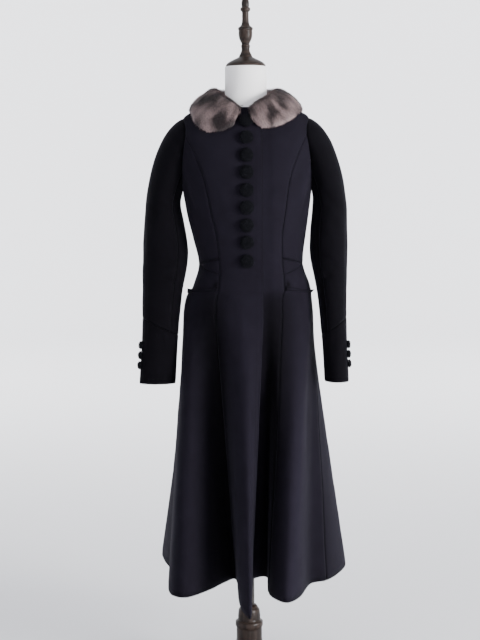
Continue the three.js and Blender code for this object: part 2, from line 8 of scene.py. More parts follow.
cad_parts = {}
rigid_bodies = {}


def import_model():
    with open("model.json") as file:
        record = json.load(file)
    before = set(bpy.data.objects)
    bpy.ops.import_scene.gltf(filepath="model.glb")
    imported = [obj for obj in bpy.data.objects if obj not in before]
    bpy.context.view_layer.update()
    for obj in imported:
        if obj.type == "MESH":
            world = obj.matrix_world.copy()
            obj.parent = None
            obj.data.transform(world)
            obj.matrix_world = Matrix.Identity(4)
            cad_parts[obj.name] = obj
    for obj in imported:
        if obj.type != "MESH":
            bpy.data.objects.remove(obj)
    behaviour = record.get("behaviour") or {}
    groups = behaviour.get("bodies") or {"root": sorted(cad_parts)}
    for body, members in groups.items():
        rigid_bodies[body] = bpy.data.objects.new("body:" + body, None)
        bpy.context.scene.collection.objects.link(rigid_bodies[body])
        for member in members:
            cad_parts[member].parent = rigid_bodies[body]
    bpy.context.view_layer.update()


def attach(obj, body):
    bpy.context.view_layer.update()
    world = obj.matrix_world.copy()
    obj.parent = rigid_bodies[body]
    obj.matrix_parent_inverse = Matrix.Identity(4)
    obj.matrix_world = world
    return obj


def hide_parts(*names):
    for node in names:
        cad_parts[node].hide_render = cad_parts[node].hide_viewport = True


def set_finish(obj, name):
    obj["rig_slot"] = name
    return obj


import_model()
milli = 0.001
sides = {"right": -1, "left": 1}  # as the wearer has them

# the coat's surface, in millimetres, from the same sizes as its pattern

cloth = {"wall": 2.2, "layerGap": 0.7, "overlapEdge": 40, "underlapEdge": -15, "hemHeight": 265}

# side, front and back are heights; half, fore and aft are the section's sizes
ringNames = ["side", "front", "back", "half", "fore", "aft", "shift", "square", "princess", "backSeam"]
ringRows = [
    [1486, 1457, 1496, 66, 70, 60, 0, 2.0, 88, 95],  # neckline
    [1459, 1412, 1456, 112, 94, 84, 0, 2.1, 80, 100],  # yoke
    [1435, 1366, 1400, 158, 110, 100, 0, 2.3, 70, 110],  # shoulder
    [1380, 1325, 1345, 174, 118, 108, 0, 2.4, 47, 130],  # armhole
    [1290, 1277, 1283, 168, 126, 112, 1, 2.3, 37, 141],  # chest
    [1205, 1203, 1205, 157, 127, 107, 3, 2.2, 34.5, 145],  # bust
    [1135, 1135, 1135, 144, 114, 96, 6, 2.1, 33.5, 147],  # ribs
    [1064, 1064, 1064, 133, 101, 88, 10, 2.1, 35.5, 150],  # waist
    [1008, 1008, 1008, 149, 110, 106, 11, 2.1, 32.5, 150],  # high hip
    [940, 940, 940, 166, 126, 126, 3, 2.0, 30.5, 150],  # hip
    [602, 602, 602, 196, 180, 180, 10, 2.0, 30.5, 150],  # skirt
]
rings = {name: np.array([row[n] for row in ringRows], float) for n, name in enumerate(ringNames)}
level = {"waist": 7, "hip": 9, "hem": 11, "gussetTop": 6.76, "gussetBottom": 7.39}

foldNames = ["around", "x", "fore", "drop"]
foldRows = [
    [-11, 7, 176, 0],  # free edge of the upper front
    [1, 3, 282, 36],
    [13, -24, 232, 20],
    [30, -34, 80, 0],
    [42, -64, 104, 0],
    [50, -98, 164, 0],
    [60, -152, 226, 0],
    [71, -192, 200, 0],
    [84, -204, 105, 0],  # the wearer's right side
    [98, -200, 0, 0],
    [112, -226, -110, 0],
    [126, -234, -200, 0],
    [140, -188, -252, 0],
    [152, -130, -214, 0],
    [166, -70, -264, 0],
    [180, 5, -226, 0],  # centre back
    [194, 80, -264, 0],
    [208, 140, -212, 0],
    [222, 206, -238, 0],
    [236, 250, -160, 0],
    [248, 256, -60, 0],
    [259, 232, 22, 0],
    [270, 196, 88, 0],  # the wearer's left side
    [281, 154, 118, 0],
    [294, 124, 226, 0],
    [306, 90, 274, 0],
    [320, 58, 236, 0],
    [331, 45, 180, 0],
    [342, 44, 66, 0],
    [354, 20, 66, 0],
    [370, -8, 110, 0],  # hidden edge of the lower front
]
folds = {name: np.array([row[n] for row in foldRows], float) for n, name in enumerate(foldNames)}

armhole = {"middle": 3.275, "half": 1.225, "tip": 54, "front": (26, 7), "back": (25, 4)}


def bell(value, middle, reach):
    return np.exp(-(((value - middle) / reach) ** 2))


def smoothAt(values, position):
    position = np.asarray(position, float)
    last = len(values) - 1
    start = np.clip(np.floor(position).astype(int), 0, last - 1)
    t = position - start
    a, b, c, d = (values[np.clip(start + n, 0, last)] for n in (-1, 0, 1, 2))
    return b + 0.5 * t * (c - a + t * (2 * a - 5 * b + 4 * c - d + t * (3 * (b - c) + d - a)))


def smoothStep(value, low, high):
    t = np.clip((np.asarray(value, float) - low) / (high - low), 0, 1)
    return t * t * (3 - 2 * t)


def foldAt(name, around):
    knots, values = folds["around"], folds[name]
    last = len(knots) - 1
    n = np.clip(np.searchsorted(knots, around, side="right") - 1, 0, last - 1)
    before, after = np.maximum(np.arange(last + 1) - 1, 0), np.minimum(np.arange(last + 1) + 1, last)
    slope = (values[after] - values[before]) / (knots[after] - knots[before])
    span = knots[n + 1] - knots[n]
    t = (around - knots[n]) / span
    s = t * t * (3 - 2 * t)
    ends = values[n] * (1 - s) + values[n + 1] * s
    return ends + t * (1 - t) ** 2 * span * slope[n] + t * t * (t - 1) * span * slope[n + 1]


def bodySurface(around, down):
    around, down = np.broadcast_arrays(np.asarray(around, float), np.asarray(down, float))
    row = np.minimum(down, level["hip"])
    ring = {name: smoothAt(rings[name], row) for name in ringNames[:8]}
    sine, cosine = np.sin(np.radians(around)), np.cos(np.radians(around))
    power = 2 / ring["square"]
    depth = np.where(cosine > 0, ring["fore"], ring["aft"])
    rise = np.where(cosine > 0, ring["front"], ring["back"]) - ring["side"]
    point = np.stack([
        ring["shift"] - np.sign(sine) * ring["half"] * np.abs(sine) ** power,
        -np.sign(cosine) * depth * np.abs(cosine) ** power,
        ring["side"] + rise * cosine * cosine,
    ], -1)
    hem = np.stack([
        foldAt("x", around), -foldAt("fore", around), cloth["hemHeight"] - foldAt("drop", around),
    ], -1)
    part = np.maximum(down - level["hip"], 0)[..., None] / (level["hem"] - level["hip"])
    return point * (1 - part) + hem * part


def unit(vectors):
    return vectors / np.maximum(np.linalg.norm(vectors, axis=-1, keepdims=True), 1e-9)


def bodyNormal(around, down):
    turn, step = 0.6, 0.02
    across = bodySurface(around + turn, down) - bodySurface(around - turn, down)
    along = bodySurface(around, down + step) - bodySurface(around, down - step)
    return unit(np.cross(across, along))


def sideways(angle, down):
    row = np.minimum(down, level["hip"])
    sine = np.sin(np.radians(angle))
    spread = smoothAt(rings["half"], row) * np.abs(sine) ** (2 / smoothAt(rings["square"], row))
    return np.sign(sine) * spread + smoothAt(rings["shift"], row)


def angleOf(x, down):
    row = np.minimum(down, level["hip"])
    part = (x - smoothAt(rings["shift"], row)) / smoothAt(rings["half"], row)
    sine = np.sign(part) * np.abs(part) ** (smoothAt(rings["square"], row) / 2)
    return np.degrees(np.arcsin(np.clip(sine, -1, 1)))


def coatSurface(around, down):
    around, down = np.broadcast_arrays(np.asarray(around, float), np.asarray(down, float))
    normal = bodyNormal(around, down)
    under = 1 - smoothStep(sideways(360 - around, down), cloth["overlapEdge"] + 6, cloth["overlapEdge"] + 30)
    sunk = np.where(around > 270, under, 0) * (cloth["wall"] + cloth["layerGap"])
    return bodySurface(around, down) - normal * sunk[..., None], normal


def armholeTurn(down):
    return np.arccos(np.clip((armhole["middle"] - down) / armhole["half"], -1, 1))


def armholeAngle(down, edge):
    width, slant = armhole[edge]
    turn = armholeTurn(down)
    return width * np.sin(turn) + slant * np.sin(2 * turn)


armholeTop = armhole["middle"] - armhole["half"]
armholeBottom = armhole["middle"] + armhole["half"]
tipLevel = armhole["middle"] - armhole["half"] * math.cos(math.radians(armhole["tip"]))


def seamAngle(down, edge):
    # the shoulder seam, the armhole and then the long seam, as the outer limit of a front or back
    sign = -1 if edge == "front" else 1
    values = rings["princess" if edge == "front" else "backSeam"]
    own = smoothAt(values, np.minimum(down, level["hip"]))
    atTip = 90 + sign * armholeAngle(tipLevel, edge)
    jump = atTip - smoothAt(values, tipLevel)
    own = own + jump * (1 - smoothStep(down, tipLevel, tipLevel + 0.5))
    onArmhole = 90 + sign * armholeAngle(down, edge)
    return np.where(down <= armholeTop, 90.0, np.where(down <= tipLevel, onArmhole, own))


def sideAngle(down, edge):
    sign = -1 if edge == "front" else 1
    return np.where(down >= armholeBottom, 90.0, 90 + sign * armholeAngle(down, edge))


def aroundOn(side, angle):
    return angle if sides[side] < 0 else 360 - angle


# relief: seams press in, the cloth pulls, dents and swells

# start and end are (around, level); depth below the cloth is negative; reach is its half width in mm
creaseNames = ["fromAround", "fromLevel", "toAround", "toLevel", "depth", "reach"]
creaseRows = [
    # drag lines from the armholes to the bust
    [62, 3.1, 40, 4.4, -2.6, 15], [66, 3.6, 48, 4.9, 2.2, 13], [70, 4.0, 55, 5.4, -2.0, 12],
    [298, 3.1, 319, 4.3, -2.8, 15], [294, 3.7, 313, 5.0, 2.4, 14], [291, 4.1, 305, 5.5, -2.2, 12],
    [118, 3.1, 140, 4.5, -2.4, 15], [114, 3.7, 132, 5.0, 2.0, 13], [242, 3.1, 220, 4.4, -2.5, 15],
    [246, 3.8, 227, 5.1, 2.1, 13],
    # between the buttons and the bust
    [22, 4.3, 8, 4.9, -1.2, 11], [24, 5.0, 9, 5.3, 1.0, 10], [338, 4.2, 349, 4.7, -1.3, 11],
    [335, 5.2, 348, 5.6, -1.1, 11],
    # round the waist
    [44, 6.7, 78, 6.95, -1.8, 8], [40, 7.25, 82, 7.35, -1.5, 8], [318, 6.7, 284, 6.9, -1.9, 8],
    [316, 7.3, 280, 7.4, -1.4, 8], [104, 6.6, 142, 6.85, -1.8, 9], [108, 7.2, 146, 7.3, -1.4, 9],
    [256, 6.6, 218, 6.9, -1.9, 9], [252, 7.25, 214, 7.2, -1.5, 9], [168, 6.8, 192, 6.95, -1.6, 10],
    # from the shoulders down the chest
    [72, 1.6, 50, 2.6, -1.8, 16], [288, 1.6, 309, 2.7, -1.9, 16], [108, 1.7, 128, 2.8, -1.8, 16],
    [252, 1.7, 233, 2.7, -1.8, 16],
    # under the pockets
    [48, 8.6, 56, 9.3, -1.8, 12], [76, 8.6, 70, 9.25, 1.6, 14], [311, 8.6, 303, 9.2, -1.7, 12],
    [285, 8.6, 291, 9.3, 1.5, 14],
    # long soft bends down the skirt
    [22, 8.2, 24, 9.9, -2.4, 20], [8, 8.6, 6, 10.2, 2.0, 18], [38, 9.0, 40, 10.6, -2.6, 22],
    [66, 9.2, 66, 10.7, 2.6, 24], [88, 9.0, 92, 10.5, -2.8, 26], [104, 8.9, 106, 10.4, 2.4, 24],
    [118, 9.2, 119, 10.8, -2.8, 24], [134, 9.0, 133, 10.4, 2.4, 22], [160, 8.8, 159, 10.5, -2.6, 22],
    [173, 9.2, 173, 10.8, 2.2, 20], [187, 9.0, 188, 10.6, -2.4, 20], [201, 9.1, 200, 10.4, 2.4, 22],
    [228, 8.9, 229, 10.6, -2.8, 24], [243, 9.2, 242, 10.8, 2.4, 22], [264, 9.0, 265, 10.3, -2.6, 24],
    [276, 9.3, 275, 10.7, 2.2, 22], [288, 9.0, 288, 10.2, -2.4, 20], [300, 9.5, 301, 10.8, 2.4, 20],
    [324, 9.0, 325, 10.5, -2.2, 18], [336, 8.6, 337, 9.8, 2.0, 16],
]


def reliefOf(points, rows, surface, bend=2.2):
    # one soft trough or ridge for each row, uneven along its length
    height = np.zeros(points.shape[:-1])
    for n, row in enumerate(rows):
        crease = dict(zip(creaseNames, row))
        part = np.linspace(0, 1, 9)
        sway = bend * math.sin(2.3 * n) * np.sin(np.pi * part)
        line = surface(
            crease["fromAround"] + (crease["toAround"] - crease["fromAround"]) * part + sway,
            crease["fromLevel"] + (crease["toLevel"] - crease["fromLevel"]) * part,
        )
        nearest = np.full(points.shape[:-1], 1e9)
        place = np.zeros(points.shape[:-1])
        for k in range(len(line) - 1):
            along = line[k + 1] - line[k]
            t = np.clip(((points - line[k]) @ along) / (along @ along), 0, 1)
            away = np.linalg.norm(points - line[k] - t[..., None] * along, axis=-1)
            closer = away < nearest
            nearest = np.where(closer, away, nearest)
            place = np.where(closer, (k + t) / (len(line) - 1), place)
        taper = np.sin(np.pi * np.clip(place, 0, 1)) ** 0.8 * (1 + 0.25 * np.sin(7 * place + n))
        reach = crease["reach"] * (0.75 + 0.5 * place)
        height += crease["depth"] * taper * bell(nearest, 0, reach)
    return height


def ripple(points, size, amount, seed=0.0):
    flat = points.reshape(-1, 3)
    shift = Vector((seed, 2 * seed, -seed))
    values = [noise.noise(Vector(point) / size + shift) for point in flat]
    return amount * np.array(values).reshape(points.shape[:-1])


def edgeDistance(points):
    # how far each point of a grid lies from the grid's four edges, along its rows and columns
    def walked(axis):
        steps = np.linalg.norm(np.diff(points, axis=axis), axis=-1)
        pad = [(0, 0), (0, 0)]
        pad[axis] = (1, 0)
        run = np.cumsum(np.pad(steps, pad), axis=axis)
        total = np.take(run, [-1], axis=axis)
        return run, total - run

    top, bottom = walked(0)
    start, end = walked(1)
    return {"top": top, "bottom": bottom, "start": start, "end": end}


# meshes


def makeObject(name, vertices, faces):
    mesh = bpy.data.meshes.new(name)
    mesh.from_pydata([tuple(v) for v in np.asarray(vertices, float) * milli], [], faces)
    mesh.update()
    mesh.polygons.foreach_set("use_smooth", [True] * len(mesh.polygons))
    piece = bpy.data.objects.new(name, mesh)
    bpy.context.scene.collection.objects.link(piece)
    return piece


def setAttribute(piece, name, values, kind="FLOAT"):
    layer = piece.data.attributes.new(name, kind, "POINT")
    layer.data.foreach_set("vector" if kind == "FLOAT_VECTOR" else "value", np.asarray(values, float).ravel())


def combed(piece, tone, flow):
    # how dark the blades that will stand on a mesh are, and which way they lie
    setAttribute(piece, "tone", np.broadcast_to(np.ravel(tone), len(piece.data.vertices)))
    setAttribute(piece, "flow", flow, "FLOAT_VECTOR")


def ringFaces(rows, count, first=0, flipped=False):
    # quads between closed rings of points that follow one another
    faces = []
    for r in range(rows - 1):
        for c in range(count):
            a, b = first + r * count + c, first + r * count + (c + 1) % count
            faces.append([a, b, b + count, a + count] if flipped else [a, a + count, b + count, b])
    return faces


def smoothRows(points, position):
    return np.stack([smoothAt(points[:, n], position) for n in range(points.shape[1])], -1)


def faceOutward(piece, normals):
    # a face in the middle of the outer grid has to look the cloth's own way out
    row, column = normals.shape[0] // 2, normals.shape[1] // 2
    face = piece.data.polygons[row * (normals.shape[1] - 1) + column]
    if Vector(normals[row, column]).dot(face.normal) < 0:
        piece.data.flip_normals()


def wallObject(name, outer, normals, uv):
    # a wall of cloth: the outer grid, an inner grid behind it, and an edge between them
    rows, columns = outer.shape[:2]
    inner = outer - normals * cloth["wall"]
    points = np.concatenate([outer.reshape(-1, 3), inner.reshape(-1, 3)])
    half = rows * columns
    at = np.arange(half).reshape(rows, columns)
    faces = []

    def quads(grid, flip):
        a, b, c, d = grid[:-1, :-1], grid[:-1, 1:], grid[1:, 1:], grid[1:, :-1]
        order = (a, b, c, d) if not flip else (d, c, b, a)
        faces.extend(np.stack([corner.ravel() for corner in order], -1).tolist())

    quads(at, False)
    quads(at + half, True)
    for loop, flip in ((at[0], False), (at[-1], True), (at[:, 0], True), (at[:, -1], False)):
        for a, b in zip(loop[:-1], loop[1:]):
            quad = [b, a, a + half, b + half]
            faces.append([int(v) for v in (quad[::-1] if flip else quad)])
    piece = makeObject(name, points, faces)
    piece.data.validate()
    both = np.concatenate([uv.reshape(-1, 2), uv.reshape(-1, 2)])
    layer = piece.data.uv_layers.new(name="cloth")
    corners = np.empty(len(piece.data.loops), int)
    piece.data.loops.foreach_get("vertex_index", corners)
    layer.data.foreach_set("uv", both[corners].ravel())
    faceOutward(piece, normals)
    gridSizes[name] = (rows, columns)
    return piece


# painted light on the cloth: how much its relief lightens or darkens it, and how much darker seams and the
# inner wall are painted
paintedClothShade = {"relief": 3, "onRelief": 0.10, "most": 1.6, "inSeam": 0.5, "seamReach": 1.6, "inside": 0.3}


def shadeCloth(piece, lift, distance, seams, tone):
    # painted highlight on what stands out, painted shade in seams and hollows, and painted shade on the inner
    # wall
    most = paintedClothShade["most"]
    value = tone * (1 + paintedClothShade["onRelief"] * np.clip(lift / paintedClothShade["relief"], -most, most))
    for edge in seams:
        value = value * (1 - paintedClothShade["inSeam"] * bell(distance[edge], 0, paintedClothShade["seamReach"]))
    both = np.concatenate([value.ravel(), paintedClothShade["inside"] * value.ravel()])
    setAttribute(piece, "tone", both)


def clothUv(points):
    # lengths along the cloth in metres, so that a weave keeps its scale
    distance = edgeDistance(points)
    return np.stack([distance["start"] * milli, -distance["top"] * milli], -1)


flatSizes, gridSizes, clothPieces = {}, {}, {}


def cutSizes(name, points):
    # the flat piece that was cut: its greatest width and length and its area, in metres
    across = np.linalg.norm(np.diff(points, axis=1), axis=-1).sum(1)
    along = np.linalg.norm(np.diff(points, axis=0), axis=-1).sum(0)
    a = points[1:, 1:] - points[:-1, :-1]
    b = points[1:, :-1] - points[:-1, 1:]
    area = float(np.linalg.norm(np.cross(a, b), axis=-1).sum() / 2) * milli ** 2
    width, length = float(across.max()) * milli, float(along.max()) * milli
    flatSizes[name] = (round(width, 3), round(length, 3), round(area, 4))
    return (width, length), min(area, 0.999 * width * length)


def finishCloth(piece, points, node):
    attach(piece, "root")
    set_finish(piece, "black_wool")
    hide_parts(node)
    flat, area = cutSizes(piece.name, points)
    clothPieces[node] = piece


def sewCloth(node, side, base, normal, lift, distance, turned, tone):
    # the named edges turn in by a depth over a reach; the rest of the height is the piece's relief
    for edge, (depth, reach) in turned.items():
        lift = lift - depth * bell(distance[edge], 0, reach)
    points = base + normal * lift[..., None]
    piece = wallObject(f"{node}_{side}_cloth", points, normal, clothUv(base))
    shadeCloth(piece, lift, distance, turned, tone)
    finishCloth(piece, points, f"{node}_{side}")


# rows are about 6 mm apart all the way down
rowLevels = np.concatenate([np.arange(0, 9, 1 / 12), np.linspace(9, 11, 104)])


def panelGrid(side, columns, levels, startLevels, endLevels, fromAngle, toAngle, reach=1.0):
    # levels run from 0 to 1 between the top and bottom levels of each column
    part = np.linspace(0, 1, columns + 1)[None, :]
    fade = np.maximum(0, 1 - part / reach)
    startTop, startBottom = startLevels
    endTop, endBottom = endLevels
    top = endTop + (startTop - endTop) * fade
    bottom = endBottom + (startBottom - endBottom) * fade
    down = top + (bottom - top) * levels[:, None]
    angle = fromAngle(down) + (toAngle(down) - fromAngle(down)) * part
    return aroundOn(side, angle), down


def shares(top, bottom):
    inside = rowLevels[(rowLevels > top + 0.02) & (rowLevels < bottom - 0.02)]
    return (np.concatenate([[top], inside, [bottom]]) - top) / (bottom - top)


def bodyRelief(base):
    return reliefOf(base, creaseRows, bodySurface) + ripple(base, 46, 0.7) + ripple(base, 15, 0.18, 3.0)


bodyTurn = {"seam": (1.5, 3.2), "hem": (0.7, 1.6)}


def clothPanel(side, node, columns, top, bottom, fromAngle, toAngle, endTop, endBottom, seams, hemmed,
               reach=1.0):
    # the panel's top and bottom levels may move to others, by the given share of its width
    endTop = top if endTop is None else endTop
    endBottom = bottom if endBottom is None else endBottom
    around, down = panelGrid(side, columns, shares(top, bottom), (top, bottom), (endTop, endBottom),
                             fromAngle, toAngle, reach)
    base, normal = coatSurface(around, down)
    turned = {**dict.fromkeys(seams, bodyTurn["seam"]), **dict.fromkeys(hemmed, bodyTurn["hem"])}
    tone = paintedFoldShading(around, down)
    sewCloth(node, side, base, normal, bodyRelief(base), edgeDistance(base), turned, tone)


# painted shade in the skirt's deep folds: where they are deep, how wide towards either side, and how much
# light they lose
hollowRows = [
    [31, 9, 21, 0.84], [341, 25, 8, 0.86], [99, 9, 9, 0.30], [152, 9, 9, 0.5], [180, 10, 10, 0.45],
    [208, 9, 9, 0.5], [268, 10, 10, 0.28], [284, 7, 7, 0.30],
]
# the same for the painted highlight on the folds that stand out into the light, then painted shade on the
# shoulders and in the pockets' mouths
ridgeRows = [[306, 14, 0.45], [3, 7, 0.15]]
shoulder = {"around": (90, 270), "reach": 20, "loss": 0.5, "fromLevel": 1.6, "toLevel": 3.2}
mouth = {"around": (37, 323), "reach": 2.8, "level": 7.86, "tall": 0.15, "loss": 0.9}


# painted shade in deep folds, on the shoulders and in the pockets' mouths, and painted highlight on the folds
# that stand out
def paintedFoldShading(around, down):
    value = 1 + 0 * around
    deep, bright = smoothStep(down, 7.7, 9.4), smoothStep(down, 8.5, 10.5)
    for middle, before, after, loss in hollowRows:
        value = value * (1 - loss * deep * bell(around, middle, np.where(around < middle, before, after)))
    above = 1 - smoothStep(down, shoulder["fromLevel"], shoulder["toLevel"])
    for middle in shoulder["around"]:
        value = value * (1 - shoulder["loss"] * bell(around, middle, shoulder["reach"]) * above)
    atMouth = bell(down, mouth["level"], mouth["tall"])
    for middle in mouth["around"]:
        value = value * (1 - mouth["loss"] * bell(around, middle, mouth["reach"]) * atMouth)
    return value * (1 + sum(gain * bell(around, middle, reach) for middle, reach, gain in ridgeRows) * bright)


def constant(value):
    return lambda down: np.full_like(down, float(value))


def buildBody(side):
    edge = {
        "right": lambda down: -angleOf(cloth["overlapEdge"], down),
        "left": lambda down: angleOf(cloth["underlapEdge"], down),
    }[side]
    princess = lambda down: seamAngle(down, "front")
    backSeam = lambda down: seamAngle(down, "back")
    frontSide = lambda down: sideAngle(down, "front")
    backSide = lambda down: sideAngle(down, "back")
    gussetTip = lambda down: 0.26 * princess(down) + 0.74 * 90
    belowTip = tipLevel + 0.03
    waist, hem = level["waist"], level["hem"]
    planNames = ["node", "columns", "top", "bottom", "fromAngle", "toAngle", "endTop", "endBottom", "seams",
                 "hemmed", "reach"]
    plan = [
        ("front", 46, 0, hem, edge, princess, None, None, ("end",), ("start", "bottom")),
        ("side_front", 40, belowTip, level["gussetTop"], princess, frontSide, None, waist,
         ("start", "end", "bottom"), (), 0.74),
        ("waist_gusset", 34, level["gussetTop"], level["gussetBottom"], princess, gussetTip, waist - 0.01,
         waist + 0.01, ("top", "bottom", "start"), ()),
        ("side_skirt", 46, level["gussetBottom"], hem, princess, constant(90), waist, None,
         ("start", "end", "top"), ("bottom",), 0.74),
        ("side_back", 44, belowTip, hem, backSide, backSeam, None, None, ("start", "end"), ("bottom",)),
        ("back", 34, 0, hem, backSeam, constant(180), None, None, ("start", "end"), ("bottom",)),
    ]
    for row in plan:
        clothPanel(side, **dict(zip(planNames, row)))


for side in sides:
    buildBody(side)
print("coat body: panels cut and sewn")

# sleeves

sectionNames = ["x", "fore", "z", "half", "deep"]
sectionRows = {
    "right": [[212, 4, 1205, 46, 62], [207, 10, 1095, 58, 54], [216, 22, 985, 50, 46], [222, 34, 875, 46, 38],
              [229, 44, 765, 46, 31]],
    "left": [[211, 4, 1205, 44, 62], [208, 14, 1095, 48, 58], [215, 28, 985, 37, 52], [220, 42, 875, 32, 47],
             [225, 54, 770, 31, 44]],
}
sleeveColumns = 20
sleeveSeams = {"front": 7, "back": 14, "outside": 2.5, "inside": 2.9}

sleeveCreases = {
    # columns and rows of the sleeve; the cap ends at row 1 and the elbow is near row 2.6
    "right": [
        [6.5, 0.55, 2.5, 1.35, -2.6, 14], [5.6, 0.95, 2.2, 1.75, 2.0, 13], [13.5, 0.6, 17, 1.4, -2.4, 14],
        [7.4, 2.1, 3.4, 2.35, -2.8, 9], [7.2, 2.35, 4.2, 2.8, -2.4, 8], [8.2, 2.75, 4.6, 2.6, -2.2, 8],
        [12.4, 2.0, 16.0, 2.3, -1.8, 10], [11.8, 2.5, 15.2, 2.75, -2.0, 10], [6.0, 1.4, 3.0, 2.0, 1.6, 12],
        [1.2, 1.3, 0.6, 2.4, -1.6, 13], [18.6, 1.5, 18.9, 2.7, -1.8, 13], [4.6, 3.6, 6.6, 4.6, -1.6, 9],
        [15.0, 3.5, 14.2, 4.6, -1.5, 9], [2.4, 3.7, 2.6, 4.7, 1.0, 9],
    ],
    "left": [
        [6.4, 0.5, 2.8, 1.25, -2.8, 14], [5.4, 0.9, 2.4, 1.6, 2.2, 13], [13.6, 0.6, 16.8, 1.45, -2.4, 14],
        [7.6, 2.0, 3.8, 2.3, -3.0, 9], [7.0, 2.3, 4.4, 2.7, -2.2, 8], [8.0, 2.7, 4.9, 2.5, -2.4, 8],
        [12.2, 2.05, 15.8, 2.35, -2.0, 10], [11.9, 2.45, 15.0, 2.8, -1.8, 10],
        [6.2, 1.35, 3.4, 1.95, 1.7, 12], [1.4, 1.35, 0.9, 2.5, -1.7, 12],
        [18.4, 1.45, 18.7, 2.6, -1.7, 12], [4.8, 3.55, 6.4, 4.6, -1.7, 9],
        [14.8, 3.6, 14.0, 4.7, -1.4, 9], [2.2, 3.65, 2.5, 4.6, 1.0, 9],
    ],
}


def sectionPoint(side, turn, row):
    table = np.array(sectionRows[side], float)
    value = {name: smoothAt(table[:, n], row) for n, name in enumerate(sectionNames)}
    return np.stack([
        sides[side] * (value["x"] + value["half"] * np.cos(turn)),
        -value["fore"] - value["deep"] * np.sin(turn),
        value["z"] + 0 * turn,
    ], -1)


def sleeveSurface(side, column, row):
    column, row = np.broadcast_arrays(np.asarray(column, float) % sleeveColumns, np.asarray(row, float))
    turn = column * 2 * np.pi / sleeveColumns
    front = turn <= np.pi
    half = np.where(front, turn, 2 * np.pi - turn)
    width = np.where(front, armhole["front"][0], armhole["back"][0])
    slant = np.where(front, armhole["front"][1], armhole["back"][1])
    angle = 90 + np.where(front, -1, 1) * (width * np.sin(half) + slant * np.sin(2 * half))
    start, normal = coatSurface(aroundOn(side, angle), armhole["middle"] - armhole["half"] * np.cos(half))
    under = smoothStep(-np.cos(turn), -0.2, 0.45)[..., None]
    start = start + normal * under * cloth["layerGap"]
    high = (1 + np.cos(turn)) / 2
    leave = np.stack([
        sides[side] * (0.35 + 0.65 * high), -0.1 * np.sin(turn), -(1 - 0.58 * high),
    ], -1) * (34 + 206 * high * high)[..., None]
    end = sectionPoint(side, turn, 0 * row)
    arrive = (sectionPoint(side, turn, 0 * row + 0.02) - end) * 50
    t = np.clip(row, 0, 1)[..., None]
    s = t * t * (3 - 2 * t)
    cap = start * (1 - s) + end * s + leave * t * (1 - t) ** 2 + arrive * t * t * (t - 1)
    return np.where((row >= 1)[..., None], sectionPoint(side, turn, np.maximum(row - 1, 0)), cap)


def sleeveNormal(side, column, row):
    turn, step = 0.05, 0.01
    row = np.maximum(row, step)
    across = sleeveSurface(side, column + turn, row) - sleeveSurface(side, column - turn, row)
    along = sleeveSurface(side, column, row + step) - sleeveSurface(side, column, row - step)
    return -sides[side] * unit(np.cross(along, across))


def sleeveRelief(side, base):
    surface = lambda column, row: sleeveSurface(side, column, row)
    lift = reliefOf(base, sleeveCreases[side], surface, 0.25)
    return lift + ripple(base, 42, 0.7, 5.0) + ripple(base, 15, 0.18)


sleeveHead = {"under": 5, "reach": 4, "sewnDown": 0.35}
sleeveTurn = {"seam": (1.1, 3.0), "hem": (0.6, 1.6)}
# painted shade: the sleeves' cloth is painted much darker than the body's
sleevePaintedShade = 0.26


def sleevePanel(node, side, fromColumn, toColumn, columns, rowsFor, seams, hemmed):
    column = np.linspace(fromColumn, toColumn, columns + 1)[None, :]
    row = rowsFor(column)
    column = column + 0 * row
    base, normal = sleeveSurface(side, column, row), sleeveNormal(side, column, row)
    distance = edgeDistance(base)
    # the head's edge reaches under the edge of the armhole
    inward = unit(base - sleeveSurface(side, column, row + 0.03))
    tucked = sleeveHead["under"] * bell(distance["top"], 0, sleeveHead["reach"]) * (row < 0.5)
    base = base + inward * tucked[..., None]
    # the head is sewn flat into the armhole
    lift = sleeveRelief(side, base) * smoothStep(row, 0.0, sleeveHead["sewnDown"])
    turned = {**dict.fromkeys(seams, sleeveTurn["seam"]), **dict.fromkeys(hemmed, sleeveTurn["hem"])}
    sewCloth(node, side, base, normal, lift, distance, turned, sleevePaintedShade)


def forearmSeam(column):
    outer = (1 + np.cos(column * 2 * np.pi / sleeveColumns)) / 2
    return 1 + sleeveSeams["inside"] + (sleeveSeams["outside"] - sleeveSeams["inside"]) * outer


def buildSleeve(side):
    last = len(sectionRows[side])
    part = np.concatenate([np.linspace(0, 0.27, 34)[:-1], np.linspace(0.27, 1, 62)])[:, None]
    upper = lambda column: part * forearmSeam(column)
    cuffPart = np.linspace(0, 1, 34)[:, None]
    lower = lambda column: forearmSeam(column) + (last - forearmSeam(column)) * cuffPart
    front, back = sleeveSeams["front"], sleeveSeams["back"]
    allRound = ("top", "bottom", "start", "end")
    sleevePanel("sleeve_top", side, back, sleeveColumns + front, 62, upper, allRound, ())
    sleevePanel("sleeve_under", side, front, back, 34, upper, allRound, ())
    sleevePanel("sleeve_cuff", side, 0, sleeveColumns, 90, lower, ("top",), ("bottom", "start", "end"))


# pocket welts

welt = {
    "inner": 33.5, "outer": 86, "innerLevel": 7.95, "outerLevel": 8.36, "tall": 0.2, "clear": 0.3,
    "standOff": 7, "edgeDepth": 0.6, "edgeReach": 1.8, "tone": 0.95, "mouthShade": 0.8,
}


def weltHeight(part, down):
    # flat along its lower edge, and standing off the skirt towards the side along its upper one
    under = cloth["wall"] + cloth["layerGap"] + welt["clear"]
    return under + welt["standOff"] * part ** 2 * (1 - down) ** 1.3


def weltPlace(side, part, down):
    levelAt = welt["innerLevel"] + (welt["outerLevel"] - welt["innerLevel"]) * part + down * welt["tall"]
    angle = welt["inner"] + (welt["outer"] - welt["inner"]) * part + 0 * down
    base, normal = coatSurface(aroundOn(side, angle), levelAt)
    lift = weltHeight(part, down) + reliefOf(base, creaseRows, bodySurface) + ripple(base, 46, 0.7)
    return base, normal, lift


